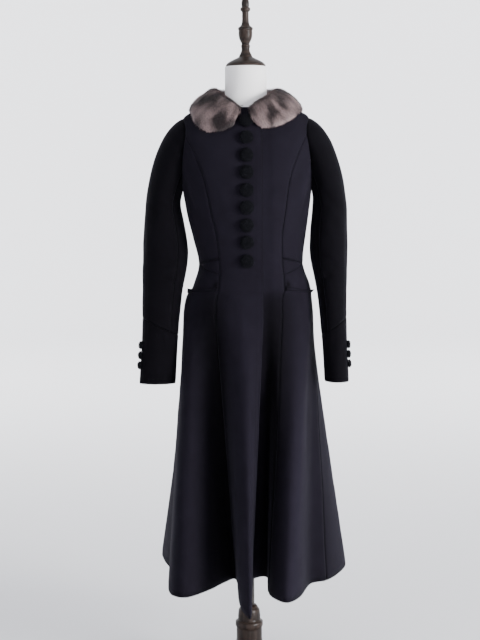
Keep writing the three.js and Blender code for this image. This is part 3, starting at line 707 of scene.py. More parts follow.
def buildWelt(side):
    part = np.linspace(0, 1, 56)[None, :]
    down = np.linspace(0, 1, 12)[:, None]
    base, normal, lift = weltPlace(side, part, down)
    distance = edgeDistance(base)
    edges = ("start", "end", "bottom", "top")
    for edge in edges:
        lift = lift - welt["edgeDepth"] * bell(distance[edge], 0, welt["edgeReach"])
    points = base + normal * lift[..., None]
    piece = wallObject(f"pocket_welt_{side}_cloth", points, normal, clothUv(base))
    # painted shade in the pocket's mouth, at the welt's inner end along its upper edge
    innerEnd = bell(part, 0, 0.09) * bell(down, 0, 0.7)
    shadeCloth(piece, 0 * lift, distance, edges, welt["tone"] * (1 - welt["mouthShade"] * innerEnd))
    finishCloth(piece, points, f"pocket_welt_{side}")


for side in sides:
    buildSleeve(side)
    buildWelt(side)
print("coat: sleeves and pocket welts sewn on")

# dress form and stand


def turnedObject(name, rows, slotName, node):
    # rows of (x, y, z) rings closed at both ends by a single point
    count = rows.shape[1]
    points = np.concatenate([rows[0].mean(0)[None], rows.reshape(-1, 3), rows[-1].mean(0)[None]])
    faces = ringFaces(rows.shape[0], count, 1)
    last = len(points) - 1
    for c in range(count):
        faces.append([0, 1 + c, 1 + (c + 1) % count])
        faces.append([last, last - count + (c + 1) % count, last - count + c])
    piece = makeObject(name, points, faces)
    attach(piece, "root")
    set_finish(piece, slotName)
    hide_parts(node)
    return piece


def spun(outline, count):
    # rows of points from an outline of (radius, height)
    turn = np.linspace(0, 2 * np.pi, count, endpoint=False)
    flat = [np.outer(outline[:, 0], np.cos(turn)), np.outer(outline[:, 0], np.sin(turn))]
    return np.stack([*flat, np.repeat(outline[:, 1:], count, 1)], -1)


def lathe(name, profile, slotName, node, count=96):
    # the profile with a point every few millimetres
    profile = np.array(profile, float)
    dense = [profile[0]]
    for a, b in zip(profile[:-1], profile[1:]):
        steps = max(2, int(np.linalg.norm(b - a) / 4))
        dense += [a + (b - a) * t for t in np.linspace(0, 1, steps + 1)[1:]]
    dense = np.array([d for d in dense if d[0] > 0.2])
    return turnedObject(name, spun(dense, count)[::-1], slotName, node)


neck = {"radius": 52.8, "top": 1562, "bottom": 905}
# how far the form's body lies inside the coat, less on the shoulders where the coat rests
body = {"clear": 4.6, "shoulder": 2.5, "jersey": 1.2, "groundInside": 8.0, "lowest": 9.0}


def buildForm():
    columns = 128
    around = np.linspace(0, 360, columns, endpoint=False)

    def circle(radius, z):
        turn = np.radians(around)
        return np.stack([-radius * np.sin(turn), -radius * np.cos(turn), np.full(columns, float(z))], -1)

    def bodyRow(down, inside=0.0):
        sine = np.abs(np.sin(np.radians(around)))
        onShoulder = smoothStep(sine, 0.5, 0.9) * smoothStep(down, 1, 1.5) * (1 - smoothStep(down, 1.9, 2.6))
        depth = cloth["wall"] + body["clear"] - body["shoulder"] * onShoulder + inside + body["jersey"]
        return bodySurface(around, down) - bodyNormal(around, down) * depth[:, None]

    levels = np.concatenate([np.arange(0, 8.9, 0.15), [body["lowest"]]])
    trunk = np.array([bodyRow(down) for down in levels])
    ground = bodyRow(body["lowest"], body["groundInside"])
    ground[:, 2] = neck["bottom"]
    heights = [neck["top"], neck["top"] - 1.2, 1545, 1530, 1515, 1508]
    neckRows = [circle(neck["radius"] - (0.8 if n == 0 else 0), z) for n, z in enumerate(heights)]
    # the neck runs straight down and then into the shoulders in a short curve
    foot = circle(neck["radius"] + 0.5, 0)
    foot[:, 2] = np.minimum(trunk[0][:, 2] + 5, 1502)
    blend = [foot, foot * 0.6 + trunk[0] * 0.4]
    rows = np.concatenate([neckRows, blend, trunk, [ground]])
    turnedObject("form_body", rows, "form_jersey", "form_torso")


capProfile = [
    [0, 1562.3], [50, 1562.3], [50.6, 1564.6], [49.6, 1567.4], [46, 1571.4], [39, 1576], [30, 1580.4],
    [22, 1584], [17.4, 1586.6], [16.4, 1589.5], [15.4, 1592], [13, 1596.5], [10.8, 1602], [10.2, 1607],
    [10.9, 1609.5], [10.9, 1611], [0, 1611],
]
finialProfile = [
    [0, 1611.3], [11, 1611.3], [11.5, 1613], [11.5, 1616], [9.6, 1618.4], [10.6, 1621], [13.6, 1627],
    [16, 1633], [17.4, 1640], [17.6, 1647], [17.2, 1653], [18.6, 1655], [19, 1657.5], [18.4, 1660],
    [15.5, 1662], [12.3, 1664.5], [10.4, 1668], [9, 1674], [8.5, 1682], [8.5, 1698], [9.4, 1700.5],
    [12.2, 1702.5], [12.8, 1706], [12, 1709.5], [9.2, 1711], [9.6, 1715], [9.9, 1721], [9, 1728],
    [6.5, 1733], [3.5, 1734.6], [0, 1735],
]
poleProfile = [[0, 181.3], [14, 181.3], [14, 904.7], [0, 904.7]]
riserProfile = [
    [0, 25.3], [60, 25.3], [60, 34], [46, 44], [36, 62], [33, 90], [33, 118], [35.5, 124], [35.5, 134],
    [29, 139], [29, 150], [27, 165], [19, 177], [0, 181],
]
baseProfile = [[0, 0], [165, 0], [165, 14], [160, 20], [148, 25], [0, 25]]

buildForm()
lathe("cap_wood", capProfile, "dark_wood", "form_cap")
lathe("finial_wood", finialProfile, "dark_wood", "form_finial")
lathe("pole_metal", poleProfile, "pole_steel", "stand_pole")
lathe("riser_wood", riserProfile, "dark_wood", "stand_riser")
lathe("base_wood", baseProfile, "dark_wood", "stand_base", count=160)
print("form and stand: turned")

# materials


class Wire:
    # one socket of a material, with the usual arithmetic
    def __init__(self, book, socket):
        self.book, self.socket = book, socket

    def maths(self, operation, other=0.0, swapped=False):
        pair = [other, self] if swapped else [self, other]
        return self.book.node("ShaderNodeMath", {"operation": operation}, {0: pair[0], 1: pair[1]})[0]

    def __add__(self, other): return self.maths("ADD", other)
    def __radd__(self, other): return self.maths("ADD", other, True)
    def __sub__(self, other): return self.maths("SUBTRACT", other)
    def __rsub__(self, other): return self.maths("SUBTRACT", other, True)
    def __mul__(self, other): return self.maths("MULTIPLY", other)
    def __rmul__(self, other): return self.maths("MULTIPLY", other, True)

    def clamped(self, low=0.0, high=1.0):
        return self.maths("MAXIMUM", low).maths("MINIMUM", high)


class Book:
    # a material and the nodes in it
    def __init__(self, name):
        self.material = bpy.data.materials.new(name)
        self.material.use_nodes = True
        self.tree = self.material.node_tree
        self.tree.nodes.clear()

    def node(self, kind, settings=None, inputs=None):
        made = self.tree.nodes.new(kind)
        for key, value in (settings or {}).items():
            setattr(made, key, value)
        for key, value in (inputs or {}).items():
            if isinstance(value, Wire):
                self.tree.links.new(value.socket, made.inputs[key])
            else:
                made.inputs[key].default_value = value
        return [Wire(self, out) for out in made.outputs if out.enabled]

    def scaled(self, where, scale):
        return self.node("ShaderNodeVectorMath", {"operation": "MULTIPLY"}, {0: where, 1: scale})[0]

    def place(self, scale=(1, 1, 1)):
        return self.scaled(self.node("ShaderNodeTexCoord")[3], scale)

    def onCloth(self, scale):
        return self.scaled(self.node("ShaderNodeUVMap", {"uv_map": "cloth"})[0], scale)

    def attribute(self, name):
        return self.node("ShaderNodeAttribute", {"attribute_name": name})[2]

    def noise(self, vector, scale, detail=3.0, rough=0.5):
        values = {"Vector": vector, "Scale": scale, "Detail": detail, "Roughness": rough}
        return self.node("ShaderNodeTexNoise", {}, values)[0]

    def wave(self, settings, vector, scale, distortion, detail, **values):
        values = {"Vector": vector, "Scale": scale, "Distortion": distortion, "Detail": detail, **values}
        return self.node("ShaderNodeTexWave", settings, values)[1]

    def mix(self, factor, first, second):
        first, second = (colour if isinstance(colour, Wire) else (*colour, 1) for colour in (first, second))
        settings = {"data_type": "RGBA", "clamp_factor": False}
        return self.node("ShaderNodeMix", settings, {0: factor, 6: first, 7: second})[0]

    def bump(self, height, distance, strength):
        values = {"Strength": strength, "Distance": distance, "Height": height}
        return self.node("ShaderNodeBump", {}, values)[0]

    def finish(self, inputs):
        shader = self.node("ShaderNodeBsdfPrincipled", {}, inputs)[0]
        self.node("ShaderNodeOutputMaterial", {}, {"Surface": shader})
        return self.material


def woolMaterial():
    # brushed wool: a short nap that lies down the cloth, over a close twill
    book = Book("black_wool")
    cloudy = book.noise(book.place(), 26.0, 4.0, 0.6)
    nap = book.noise(book.onCloth((900, 330, 1)), 1.0, 3.0, 0.6)
    fine = book.noise(book.place(), 1500.0, 2.0)
    diagonal = {"wave_type": "BANDS", "bands_direction": "DIAGONAL"}
    twill = book.wave(diagonal, book.onCloth((1, 1, 1)), 210.0, 1.2, 1.0)
    shade = (cloudy * 0.55 + nap * 0.65 - 0.1).clamped()
    colour = book.mix(shade, (0.0036, 0.0029, 0.0050), (0.0096, 0.0081, 0.0133))
    lint = (fine * 3.2 - 1.95).clamped() * (nap * 2.2 - 0.9).clamped()
    colour = book.mix(lint * 0.5, colour, (0.022, 0.021, 0.028))
    # painted shade and highlight: the tone attribute darkens seams, hollows, sleeves, pocket mouths, stitches
    # and the inner wall, and lightens what stands out
    colour = book.mix(book.attribute("tone").clamped(0, 1.5), (0.0, 0.0, 0.0), colour)
    height = nap * 0.55 + fine * 0.3 + twill * 0.25 + cloudy * 0.5
    return book.finish({
        "Base Color": colour, "Roughness": (0.86 + 0.1 * nap).clamped(), "Specular IOR Level": 0.05,
        "Sheen Weight": 0.03, "Sheen Roughness": 0.45, "Sheen Tint": (0.58, 0.55, 0.75, 1),
        "Normal": book.bump(height, 0.0006, 0.55),
    })


def furMaterial():
    # each hair has its own shade of colour, and painted shade darkens it towards its root, deep in the fur
    book = Book("mink_fur")
    own, along = book.attribute("shade"), book.attribute("rise")
    patch = book.noise(book.place(), 30.0, 3.0, 0.55)
    streak = book.noise(book.place(), 160.0, 3.0, 0.6)
    light = (own * 0.95 + patch * 0.5 + streak * 0.35 - 0.52).clamped()
    above = book.mix(light, (0.0150, 0.0090, 0.0100), (0.430, 0.315, 0.305))
    # painted shade towards each hair's root
    colour = book.mix((along * 1.25 - 0.1).clamped(), (0.018, 0.0115, 0.013), above)
    return book.finish({
        "Base Color": colour, "Roughness": (0.45 + 0.2 * streak).clamped(), "Specular IOR Level": 0.35,
        "Sheen Weight": 0.06, "Sheen Roughness": 0.4, "Sheen Tint": (0.8, 0.74, 0.78, 1),
    })


def pileMaterial():
    book = Book("button_pile")
    clump = book.noise(book.place(), 420.0, 3.0)
    fine = book.noise(book.place(), 2400.0, 2.0)
    colour = book.mix(clump, (0.0022, 0.0024, 0.0034), (0.0085, 0.0085, 0.0105))
    return book.finish({
        "Base Color": colour, "Roughness": (0.85 + 0.12 * fine).clamped(), "Specular IOR Level": 0.04,
        "Sheen Weight": 0.02, "Sheen Tint": (0.6, 0.6, 0.75, 1), "Normal": book.bump(fine, 0.0004, 0.6),
    })


def jerseyMaterial():
    # fine knit ribs run down the form
    book = Book("form_jersey")
    upright = {"wave_type": "RINGS", "rings_direction": "Z"}
    ribs = book.wave(upright, book.place((1, 1, 0.02)), 260.0, 2.0, 2.0)
    cloudy = book.noise(book.place(), 18.0, 3.0)
    fine = book.noise(book.place((1, 1, 0.6)), 1300.0, 2.0)
    knit = (cloudy * 0.7 + fine * 0.3).clamped()
    colour = book.mix(knit, (0.78, 0.765, 0.755), (0.87, 0.86, 0.855))
    return book.finish({
        "Base Color": colour, "Roughness": (0.82 + 0.12 * fine).clamped(), "Specular IOR Level": 0.3,
        "Sheen Weight": 0.08, "Normal": book.bump(ribs * 0.3 + fine * 0.7 + cloudy * 0.6, 0.0004, 0.6),
    })


def woodMaterial():
    # dark stained wood: grain along the height, lighter worn patches at random, a thin lacquer
    book = Book("dark_wood")
    warp = book.noise(book.place((1, 1, 0.12)), 45.0, 4.0)
    upright = {"wave_type": "RINGS", "rings_direction": "Z"}
    years = book.wave(upright, book.place((1, 1, 0.05)), 65.0, 6.0, 3.0, **{"Detail Scale": 1.6})
    pores = book.noise(book.place((1, 1, 0.04)), 1100.0, 2.0)
    dust = book.noise(book.place(), 60.0, 5.0, 0.65)
    grain = (years * 0.45 + warp * 0.5 + pores * 0.2 - 0.1).clamped()
    colour = book.mix(grain, (0.0030, 0.0020, 0.0018), (0.040, 0.027, 0.0215))
    colour = book.mix((dust * 2.4 - 1.25).clamped() * 0.12, colour, (0.10, 0.09, 0.08))
    rough = (0.30 + 0.16 * dust + 0.1 * pores).clamped()
    return book.finish({
        "Base Color": colour, "Roughness": rough, "Specular IOR Level": 0.12,
        "Coat Weight": (0.10 - 0.06 * dust).clamped(), "Coat Roughness": 0.2,
        "Normal": book.bump(years * 0.2 + pores * 0.5, 0.0004, 0.4),
    })


def steelMaterial():
    book = Book("pole_steel")
    brushed = book.noise(book.place((1, 1, 0.03)), 900.0, 3.0)
    cloudy = book.noise(book.place(), 30.0, 4.0, 0.6)
    worn = (brushed * 0.5 + cloudy * 0.5).clamped()
    colour = book.mix(worn, (0.020, 0.017, 0.015), (0.055, 0.046, 0.040))
    return book.finish({
        "Base Color": colour, "Metallic": 0.35, "Roughness": (0.33 + 0.2 * cloudy).clamped(),
        "Normal": book.bump(brushed, 0.0002, 0.3),
    })


materials = {
    "black_wool": woolMaterial(), "mink_fur": furMaterial(), "button_pile": pileMaterial(),
    "form_jersey": jerseyMaterial(), "dark_wood": woodMaterial(), "pole_steel": steelMaterial(),
}
print("materials: made")

# fur, pile, raw edges and stitches, grown with geometry nodes


def newTree(name, sockets):
    # a tree with its ends, and the one way to put a node into it
    tree = bpy.data.node_groups.new(name, "GeometryNodeTree")
    for label, kind in sockets.items():
        tree.interface.new_socket(label, in_out="INPUT", socket_type=f"NodeSocket{kind}")
    tree.interface.new_socket("Made", in_out="OUTPUT", socket_type="NodeSocketGeometry")
    start, end = tree.nodes.new("NodeGroupInput"), tree.nodes.new("NodeGroupOutput")

    def node(kind, settings=None, inputs=None):
        made = tree.nodes.new(kind)
        for key, value in (settings or {}).items():
            setattr(made, key, value)
        for key, value in (inputs or {}).items():
            if isinstance(value, bpy.types.NodeSocket):
                tree.links.new(value, made.inputs[key])
            else:
                made.inputs[key].default_value = value
        return made

    return tree, start, end, node


def applied(name, base, tree, values):
    # what a tree makes of an object becomes a mesh of its own, and the modifier goes
    modifier = base.modifiers.new(tree.name, "NODES")
    modifier.node_group = tree
    for item in tree.interface.items_tree:
        if item.item_type == "SOCKET" and item.in_out == "INPUT" and item.name in values:
            modifier[item.identifier] = values[item.name]
    base.update_tag()
    bpy.context.view_layer.update()
    evaluated = base.evaluated_get(bpy.context.evaluated_depsgraph_get())
    mesh = bpy.data.meshes.new_from_object(evaluated)
    base.modifiers.remove(modifier)
    mesh.name = name
    piece = bpy.data.objects.new(name, mesh)
    bpy.context.scene.collection.objects.link(piece)
    return piece


def grownTree():
    # short blades stand on the faces of a base mesh and lie along its "flow"
    tree, start, end, node = newTree("grown", {
        "Base": "Geometry", "Blade": "Object", "Density": "Float", "Length": "Float", "Spread": "Float",
        "Lift": "Float", "Seed": "Int", "Material": "Material",
    })

    def value(name, kind="FLOAT"):
        made = node("GeometryNodeInputNamedAttribute", {"data_type": kind}, {"Name": name})
        return next(out for out in made.outputs if out.enabled)

    def chance(low, high, salt):
        # a random number for each blade, from the tree's one seed
        seed = node("FunctionNodeIntegerMath", {"operation": "ADD"}, {0: start.outputs["Seed"], 1: salt})
        bounds = {2: low, 3: high, "Seed": seed.outputs[0]}
        made = node("FunctionNodeRandomValue", {"data_type": "FLOAT"}, bounds)
        return next(out for out in made.outputs if out.enabled)

    def maths(operation, first, second):
        return node("ShaderNodeMath", {"operation": operation}, {0: first, 1: second}).outputs[0]

    points = node("GeometryNodeDistributePointsOnFaces", {"distribute_method": "RANDOM"}, {
        "Mesh": start.outputs["Base"], "Density": start.outputs["Density"], "Seed": start.outputs["Seed"],
    })
    stored = node("GeometryNodeStoreNamedAttribute", {"data_type": "FLOAT", "domain": "POINT"}, {
        "Geometry": points.outputs["Points"], "Name": "shade",
        "Value": maths("ADD", value("tone"), chance(-0.16, 0.16, 5)),
    })
    swing = node("FunctionNodeAxisAngleToRotation", {}, {
        "Axis": (0, 0, 1),
        "Angle": chance(maths("MULTIPLY", start.outputs["Spread"], -1.0), start.outputs["Spread"], 1),
    })
    raised = node("FunctionNodeAxisAngleToRotation", {}, {
        "Axis": (0, 1, 0),
        "Angle": maths("MULTIPLY", maths("MULTIPLY", start.outputs["Lift"], -1.0), chance(0.55, 1.5, 2)),
    })
    upright = node("FunctionNodeAlignRotationToVector", {"axis": "Z", "pivot_axis": "AUTO"}, {
        "Vector": points.outputs["Normal"],
    })
    along = node("FunctionNodeAlignRotationToVector", {"axis": "X", "pivot_axis": "Z"}, {
        "Rotation": upright.outputs[0], "Vector": value("flow", "FLOAT_VECTOR"),
    })
    turned = node("FunctionNodeRotateRotation", {"rotation_space": "LOCAL"}, {
        "Rotation": along.outputs[0], "Rotate By": swing.outputs[0],
    })
    lifted = node("FunctionNodeRotateRotation", {"rotation_space": "LOCAL"}, {
        "Rotation": turned.outputs[0], "Rotate By": raised.outputs[0],
    })
    original = {"transform_space": "ORIGINAL"}
    blade = node("GeometryNodeObjectInfo", original, {"Object": start.outputs["Blade"]})
    size = maths("MULTIPLY", start.outputs["Length"], chance(0.7, 1.15, 3))
    sizes = node("ShaderNodeCombineXYZ", {}, {"X": size, "Y": start.outputs["Length"], "Z": size})
    placed = node("GeometryNodeInstanceOnPoints", {}, {
        "Points": stored.outputs["Geometry"], "Instance": blade.outputs["Geometry"],
        "Rotation": lifted.outputs[0], "Scale": sizes.outputs[0],
    })
    whole = node("GeometryNodeRealizeInstances", {}, {"Geometry": placed.outputs[0]})
    painted = node("GeometryNodeSetMaterial", {}, {
        "Geometry": whole.outputs[0], "Material": start.outputs["Material"],
    })
    tree.links.new(painted.outputs[0], end.inputs["Made"])
    return tree


def bladeObject(name, width, steps, curl):
    # one blade of unit length along X, tapered and bent up; "rise" runs from root to tip
    points, rise, faces = [], [], []
    for n in range(steps):
        t = n / steps
        half = 0.5 * width * (1 - 0.55 * t * t)
        for sign in (-1, 1):
            points.append((t / milli, sign * half / milli, (curl * t * (1 - t) * 1.6) / milli))
            rise.append(t)
    points.append((1 / milli, 0, 0))
    rise.append(1.0)
    for n in range(steps - 1):
        faces.append([2 * n, 2 * n + 2, 2 * n + 3, 2 * n + 1])
    faces.append([2 * steps - 2, 2 * steps, 2 * steps - 1])
    blade = makeObject(name, points, faces)
    setAttribute(blade, "rise", rise)
    blade.hide_render = True
    return blade


growth = grownTree()


def grow(name, base, blade, slotName, **values):
    grown = applied(name, base, growth, {"Blade": blade, "Material": materials[slotName], **values})
    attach(grown, "root")
    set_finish(grown, slotName)
    return grown


# fur collar

collar = {
    "right": 10, "left": 357, "spreadRight": 6, "spreadLeft": -12, "front": 1.38, "side": 1.52, "back": 1.42,
    "lobeAngle": 38, "lobeSpread": 24, "lobeExtra": 0.42,
}
hair = {"Density": 760000.0, "Length": 0.0115, "Spread": 0.42, "Lift": 0.42, "Seed": 11}
collarSection = np.array([
    [0.0, 1.6], [-0.04, 10], [0.02, 19], [0.2, 23], [0.5, 21], [0.76, 18], [0.94, 12], [1.0, 5.5],
    [0.95, 2.5], [0.62, 2.3], [0.3, 1.8],
])


# a stripe's place and width as parts of the collar's length, and how dark it is
collarStripes = [
    (0.055, 0.030, 0.42), (0.145, 0.024, 0.26), (0.862, 0.026, 0.30), (0.945, 0.018, 0.30),
    (0.30, 0.03, 0.3), (0.43, 0.03, 0.3), (0.57, 0.03, 0.3), (0.71, 0.03, 0.3),
]


def collarPoint(part, out, up):
    # the same sweep as the solid collar; out and up are the section's own place
    start = collar["right"] + (collar["left"] - collar["right"]) * part
    cosine = np.cos(np.radians(start))
    far = np.where(cosine > 0, collar["front"], collar["back"])
    reach = collar["side"] + (far - collar["side"]) * cosine ** 2
    reach = reach + collar["lobeExtra"] * bell(start, collar["lobeAngle"], collar["lobeSpread"])
    nearEnd = np.maximum(0, 1 - 5 * np.minimum(part, 1 - part))
    spread = np.where(part < 0.5, collar["spreadRight"], collar["spreadLeft"]) * nearEnd
    around, down = start + spread * out, out * reach
    return bodySurface(around, down) + bodyNormal(around, down) * up[..., None]


def buildCollar():
    columns, ring = 240, 52
    part = np.linspace(0.0, 1, columns + 1)[:, None]
    turn = np.arange(ring) / ring * len(collarSection)
    wrapped = np.concatenate([collarSection[-1:], collarSection, collarSection[:2]])
    section = smoothRows(wrapped, turn + 1)
    out, up = section[:, 0][None, :], section[:, 1][None, :]
    atSide = np.abs(np.sin(np.radians(collar["right"] + (collar["left"] - collar["right"]) * part))) ** 2
    up = np.where(up > 3, 3 + (up - 3) * (0.78 + 0.34 * atSide), up)
    near = np.clip(np.minimum(part, 1 - part) * 11, 0, 1)
    scale = 0.30 + 0.64 * np.sqrt(1 - (1 - near) ** 2)
    out = 0.48 + (out - 0.48) * scale
    up = 8 + (up - 8) * np.minimum(1, scale + 0.06)
    part, out, up = np.broadcast_arrays(part, out, up)
    base = collarPoint(part, out, up)
    outward = unit(base - base.mean(1, keepdims=True))
    swell = ripple(base, 30, 2.6, 7.0) + ripple(base, 12, 1.0, 2.0)
    base = base + outward * (swell * smoothStep(up, 3.5, 9))[..., None]

    faces = ringFaces(columns + 1, ring, flipped=True)
    points = np.concatenate([base.reshape(-1, 3), base[0].mean(0)[None], base[-1].mean(0)[None]])
    first, end = columns * ring + ring, columns * ring
    for k in range(ring):
        j = (k + 1) % ring
        faces += [[first, j, k], [first + 1, end + k, end + j]]
    skin = makeObject("fur_collar_skin", points, faces)
    middle = skin.data.polygons[(columns // 2) * ring + ring // 4]
    inner = Vector(base[columns // 2].mean(0) * milli)
    if (middle.center - inner).dot(middle.normal) < 0:
        skin.data.flip_normals()

    # pelts lie side by side, each with a dark back and light flanks
    along = part * 640
    tone = 0.60 + ripple(np.stack([along, out * 60, 0 * up], -1), 30, 1.0, 1.0)
    tone = tone + ripple(np.stack([along, out * 26, 0 * up], -1), 11, 0.5, 4.0)
    across = smoothStep(out, -0.1, 0.3) * (1 - smoothStep(out, 0.72, 1.0))
    for place, width, depth in collarStripes:
        sway = 0.012 * np.sin(5 * out + 40 * place)
        tone = tone - depth * bell(part, place + sway, width) * across
    tone = np.clip(tone, 0.05, 1)
    setAttribute(skin, "shade", np.concatenate([tone.ravel(), [0.5, 0.5]]))
    setAttribute(skin, "rise", np.full(len(points), 0.45))
    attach(skin, "root")
    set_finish(skin, "mink_fur")
    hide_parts("fur_collar")

    # the hair runs outward and a little towards the front ends
    outDirection = collarPoint(part, out + 0.03, up) - collarPoint(part, out - 0.03, up)
    endDirection = np.gradient(base, axis=0) * np.where(part < 0.5, -1, 1)[..., None]
    wander = ripple(base, 26, 0.9, 9.0)[..., None]
    flow = unit(outDirection) * 0.8 + unit(endDirection) * (0.35 + wander)
    top = np.where(section[:, 1] > 3.2)[0]
    spans = [(0, columns // 2), (columns // 2, columns)]
    blade = bladeObject("hair", 0.062, 3, 0.35)
    for side, (low, high) in zip(sides, spans):
        span = np.arange(low, high + 1)
        order = np.concatenate([top, top[-1:] + 1])
        chosen = base[span][:, order]
        rows, cols = chosen.shape[:2]
        cell = np.arange(rows * cols).reshape(rows, cols)
        quads = np.stack([cell[1:, :-1], cell[1:, 1:], cell[:-1, 1:], cell[:-1, :-1]], -1).reshape(-1, 4)
        bed = makeObject(f"fur_bed_{side}", chosen.reshape(-1, 3), quads.tolist())
        combed(bed, tone[span][:, order], flow[span][:, order])
        grow(f"fur_collar_hair_{side}", bed, blade, "mink_fur", **hair)
        bpy.data.objects.remove(bed)
    bpy.data.objects.remove(blade)


buildCollar()
print("fur collar: grown")


# buttons

buttonOutline = np.array([
    [0.0, 0.0], [0.5, 0.04], [0.84, 0.16], [0.97, 0.4], [0.9, 0.68], [0.6, 0.9], [0.25, 0.98], [0.0, 1.0],
])
frontButton = {
    "radius": 17.5, "height": 13, "levels": [1421, 1380, 1337, 1295, 1252, 1209, 1166, 1123, 1076],
}
cuffButton = {"radius": 10, "height": 8, "column": 0.9, "rows": [3.12, 3.32, 3.52]}
buttonGap = 0.3
pile = {"Density": 1500000.0, "Length": 0.0024, "Spread": 1.2, "Lift": 1.0}


def buildButton(node, place, normal, size, pileBlade, seed):
    # a domed button covered in black pile: the dome, and the pile that stands on it
    count, radius, height = 40, size["radius"], size["height"]
    outline = buttonOutline * [radius * 0.95, height * 0.9]
    rows = spun(smoothRows(outline, np.linspace(0, len(outline) - 1, 26))[1:-1], count)
    turn = np.linspace(0, 2 * np.pi, count, endpoint=False)
    dent = 1 + 0.03 * np.sin(3 * turn + seed) + 0.02 * np.sin(5 * turn + 2 * seed)
    rows[..., :2] *= dent[None, :, None]
    flowLocal = rows - np.array([0, 0, height * 0.25])
    axes = np.array(Vector(normal).to_track_quat("Z", "Y").to_matrix())
    points = rows @ axes.T + place + normal * buttonGap
    piece = turnedObject(f"{node}_core", points[::-1], "button_pile", node)
    flow = unit(flowLocal) @ axes.T + np.array([0, 0, -0.5])
    combed(piece, 0.5, np.concatenate([[[0, 0, -1]], flow[::-1].reshape(-1, 3), [[0, 0, -1]]]))
    grow(f"{node}_pile", piece, pileBlade, "button_pile", **pile, Seed=seed)


def buildButtons():
    pileBlade = bladeObject("pile", 0.16, 2, 0.2)
    levels = np.linspace(0.2, 7.5, 4000)
    for n, height in enumerate(frontButton["levels"]):
        spine = bodySurface(-angleOf(0, levels), levels)
        down = levels[np.argmin(np.abs(spine[:, 2] - height))]
        point, normal = coatSurface(-angleOf(0, down), down)
        buildButton(f"front_button_{n + 1}", point, normal, frontButton, pileBlade, 20 + n)
    for side in sides:
        for n, row in enumerate(cuffButton["rows"]):
            at = (side, cuffButton["column"], row + 1)
            node, seed = f"cuff_button_{side}_{n + 1}", 40 + n + 5 * sides[side]
            buildButton(node, sleeveSurface(*at), sleeveNormal(*at), cuffButton, pileBlade, seed)
    bpy.data.objects.remove(pileBlade)


buildButtons()
print("buttons: covered")


# raw edges, stitches, hook and eye

fibres = {"Density": 1100000.0, "Length": 0.0026, "Spread": 3.1, "Lift": 1.25}

def buildFringe(node, side, blade, seed):
    # loose fibres stand out of a panel's cut lower edge
    panel = clothPieces[f"{node}_{side}"]
    rows, columns = gridSizes[panel.name]
    spots = np.empty(len(panel.data.vertices) * 3)
    panel.data.vertices.foreach_get("co", spots)
    outer, inner = spots.reshape(2, rows, columns, 3) / milli
    strip = np.stack([inner[-1], outer[-1]], 0)
    fall = unit(outer[-1] - outer[-3])
    cell = np.arange(2 * columns).reshape(2, columns)
    quads = np.stack([cell[0, :-1], cell[0, 1:], cell[1, 1:], cell[1, :-1]], -1)
    face = np.cross(strip[0, 1] - strip[0, 0], strip[1, 1] - strip[0, 0])
    if face @ fall[0] < 0:
        quads = quads[:, ::-1]
    bed = makeObject("raw_edge", strip.reshape(-1, 3), quads.tolist())
    away = unit(outer[-1] - inner[-1])
    combed(bed, 0.6, np.stack([-away, away], 0) + 0.2 * fall)
    grow(f"{node}_{side}_raw_edge", bed, blade, "black_wool", **fibres, Seed=seed)
    bpy.data.objects.remove(bed)


def stitchTree():
    # short stitches follow a line of points at an even spacing
    tree, start, end, node = newTree("stitches", {
        "Line": "Geometry", "Stitch": "Object", "Spacing": "Float", "Material": "Material",
    })
    given = start.outputs
    curve = node("GeometryNodeMeshToCurve", {}, {"Mesh": given["Line"]})
    points = node("GeometryNodeCurveToPoints", {"mode": "LENGTH"}, {
        "Curve": curve.outputs[0], "Length": given["Spacing"],
    })
    turn = node("FunctionNodeAlignRotationToVector", {"axis": "X"}, {"Vector": points.outputs["Tangent"]})
    stitch = node("GeometryNodeObjectInfo", {}, {"Object": given["Stitch"]})
    placed = node("GeometryNodeInstanceOnPoints", {}, {
        "Points": points.outputs["Points"], "Instance": stitch.outputs["Geometry"],
        "Rotation": turn.outputs[0],
    })
    whole = node("GeometryNodeRealizeInstances", {}, {"Geometry": placed.outputs[0]})
    painted = node("GeometryNodeSetMaterial", {}, {
        "Geometry": whole.outputs[0], "Material": given["Material"],
    })
    tree.links.new(painted.outputs[0], end.inputs["Made"])
    return tree


def stitchObject():
    # a plump thread of 2.8 mm along X
    ring, points = 6, []
    thread = [(-1.4, 0.1), (-1.1, 0.26), (0, 0.34), (1.1, 0.26), (1.4, 0.1)]
    for x, r in thread:
        points += [(x, r * math.cos(k * math.pi / 3), r * math.sin(k * math.pi / 3)) for k in range(ring)]
    faces = ringFaces(len(thread), ring, flipped=True)
    faces += [list(range(ring))[::-1], [4 * ring + k for k in range(ring)]]
    return makeObject("stitch", points, faces)


sewing = stitchTree()
stitchSpacing = 0.0042


def sew(name, lines, stitch):
    points = np.concatenate(lines)
    starts = np.cumsum([0] + [len(line) for line in lines])
    edges = [(int(k), int(k + 1)) for a, b in zip(starts[:-1], starts[1:]) for k in range(a, b - 1)]
    mesh = bpy.data.meshes.new("seam_line")
    mesh.from_pydata([tuple(p) for p in points * milli], edges, [])
    line = bpy.data.objects.new("seam_line", mesh)
    bpy.context.scene.collection.objects.link(line)
    values = {"Stitch": stitch, "Spacing": stitchSpacing, "Material": materials["black_wool"]}
    piece = applied(name, line, sewing, values)
    bpy.data.objects.remove(line)
    # painted shade: the stitches are darker than the cloth, like the painted shade in the seams
    setAttribute(piece, "tone", np.full(len(piece.data.vertices), 0.35))
    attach(piece, "root")
    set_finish(piece, "black_wool")


def relieved(around, down, above):
    base, normal = coatSurface(around, down)
    return base + normal * (bodyRelief(base) + above)[..., None]


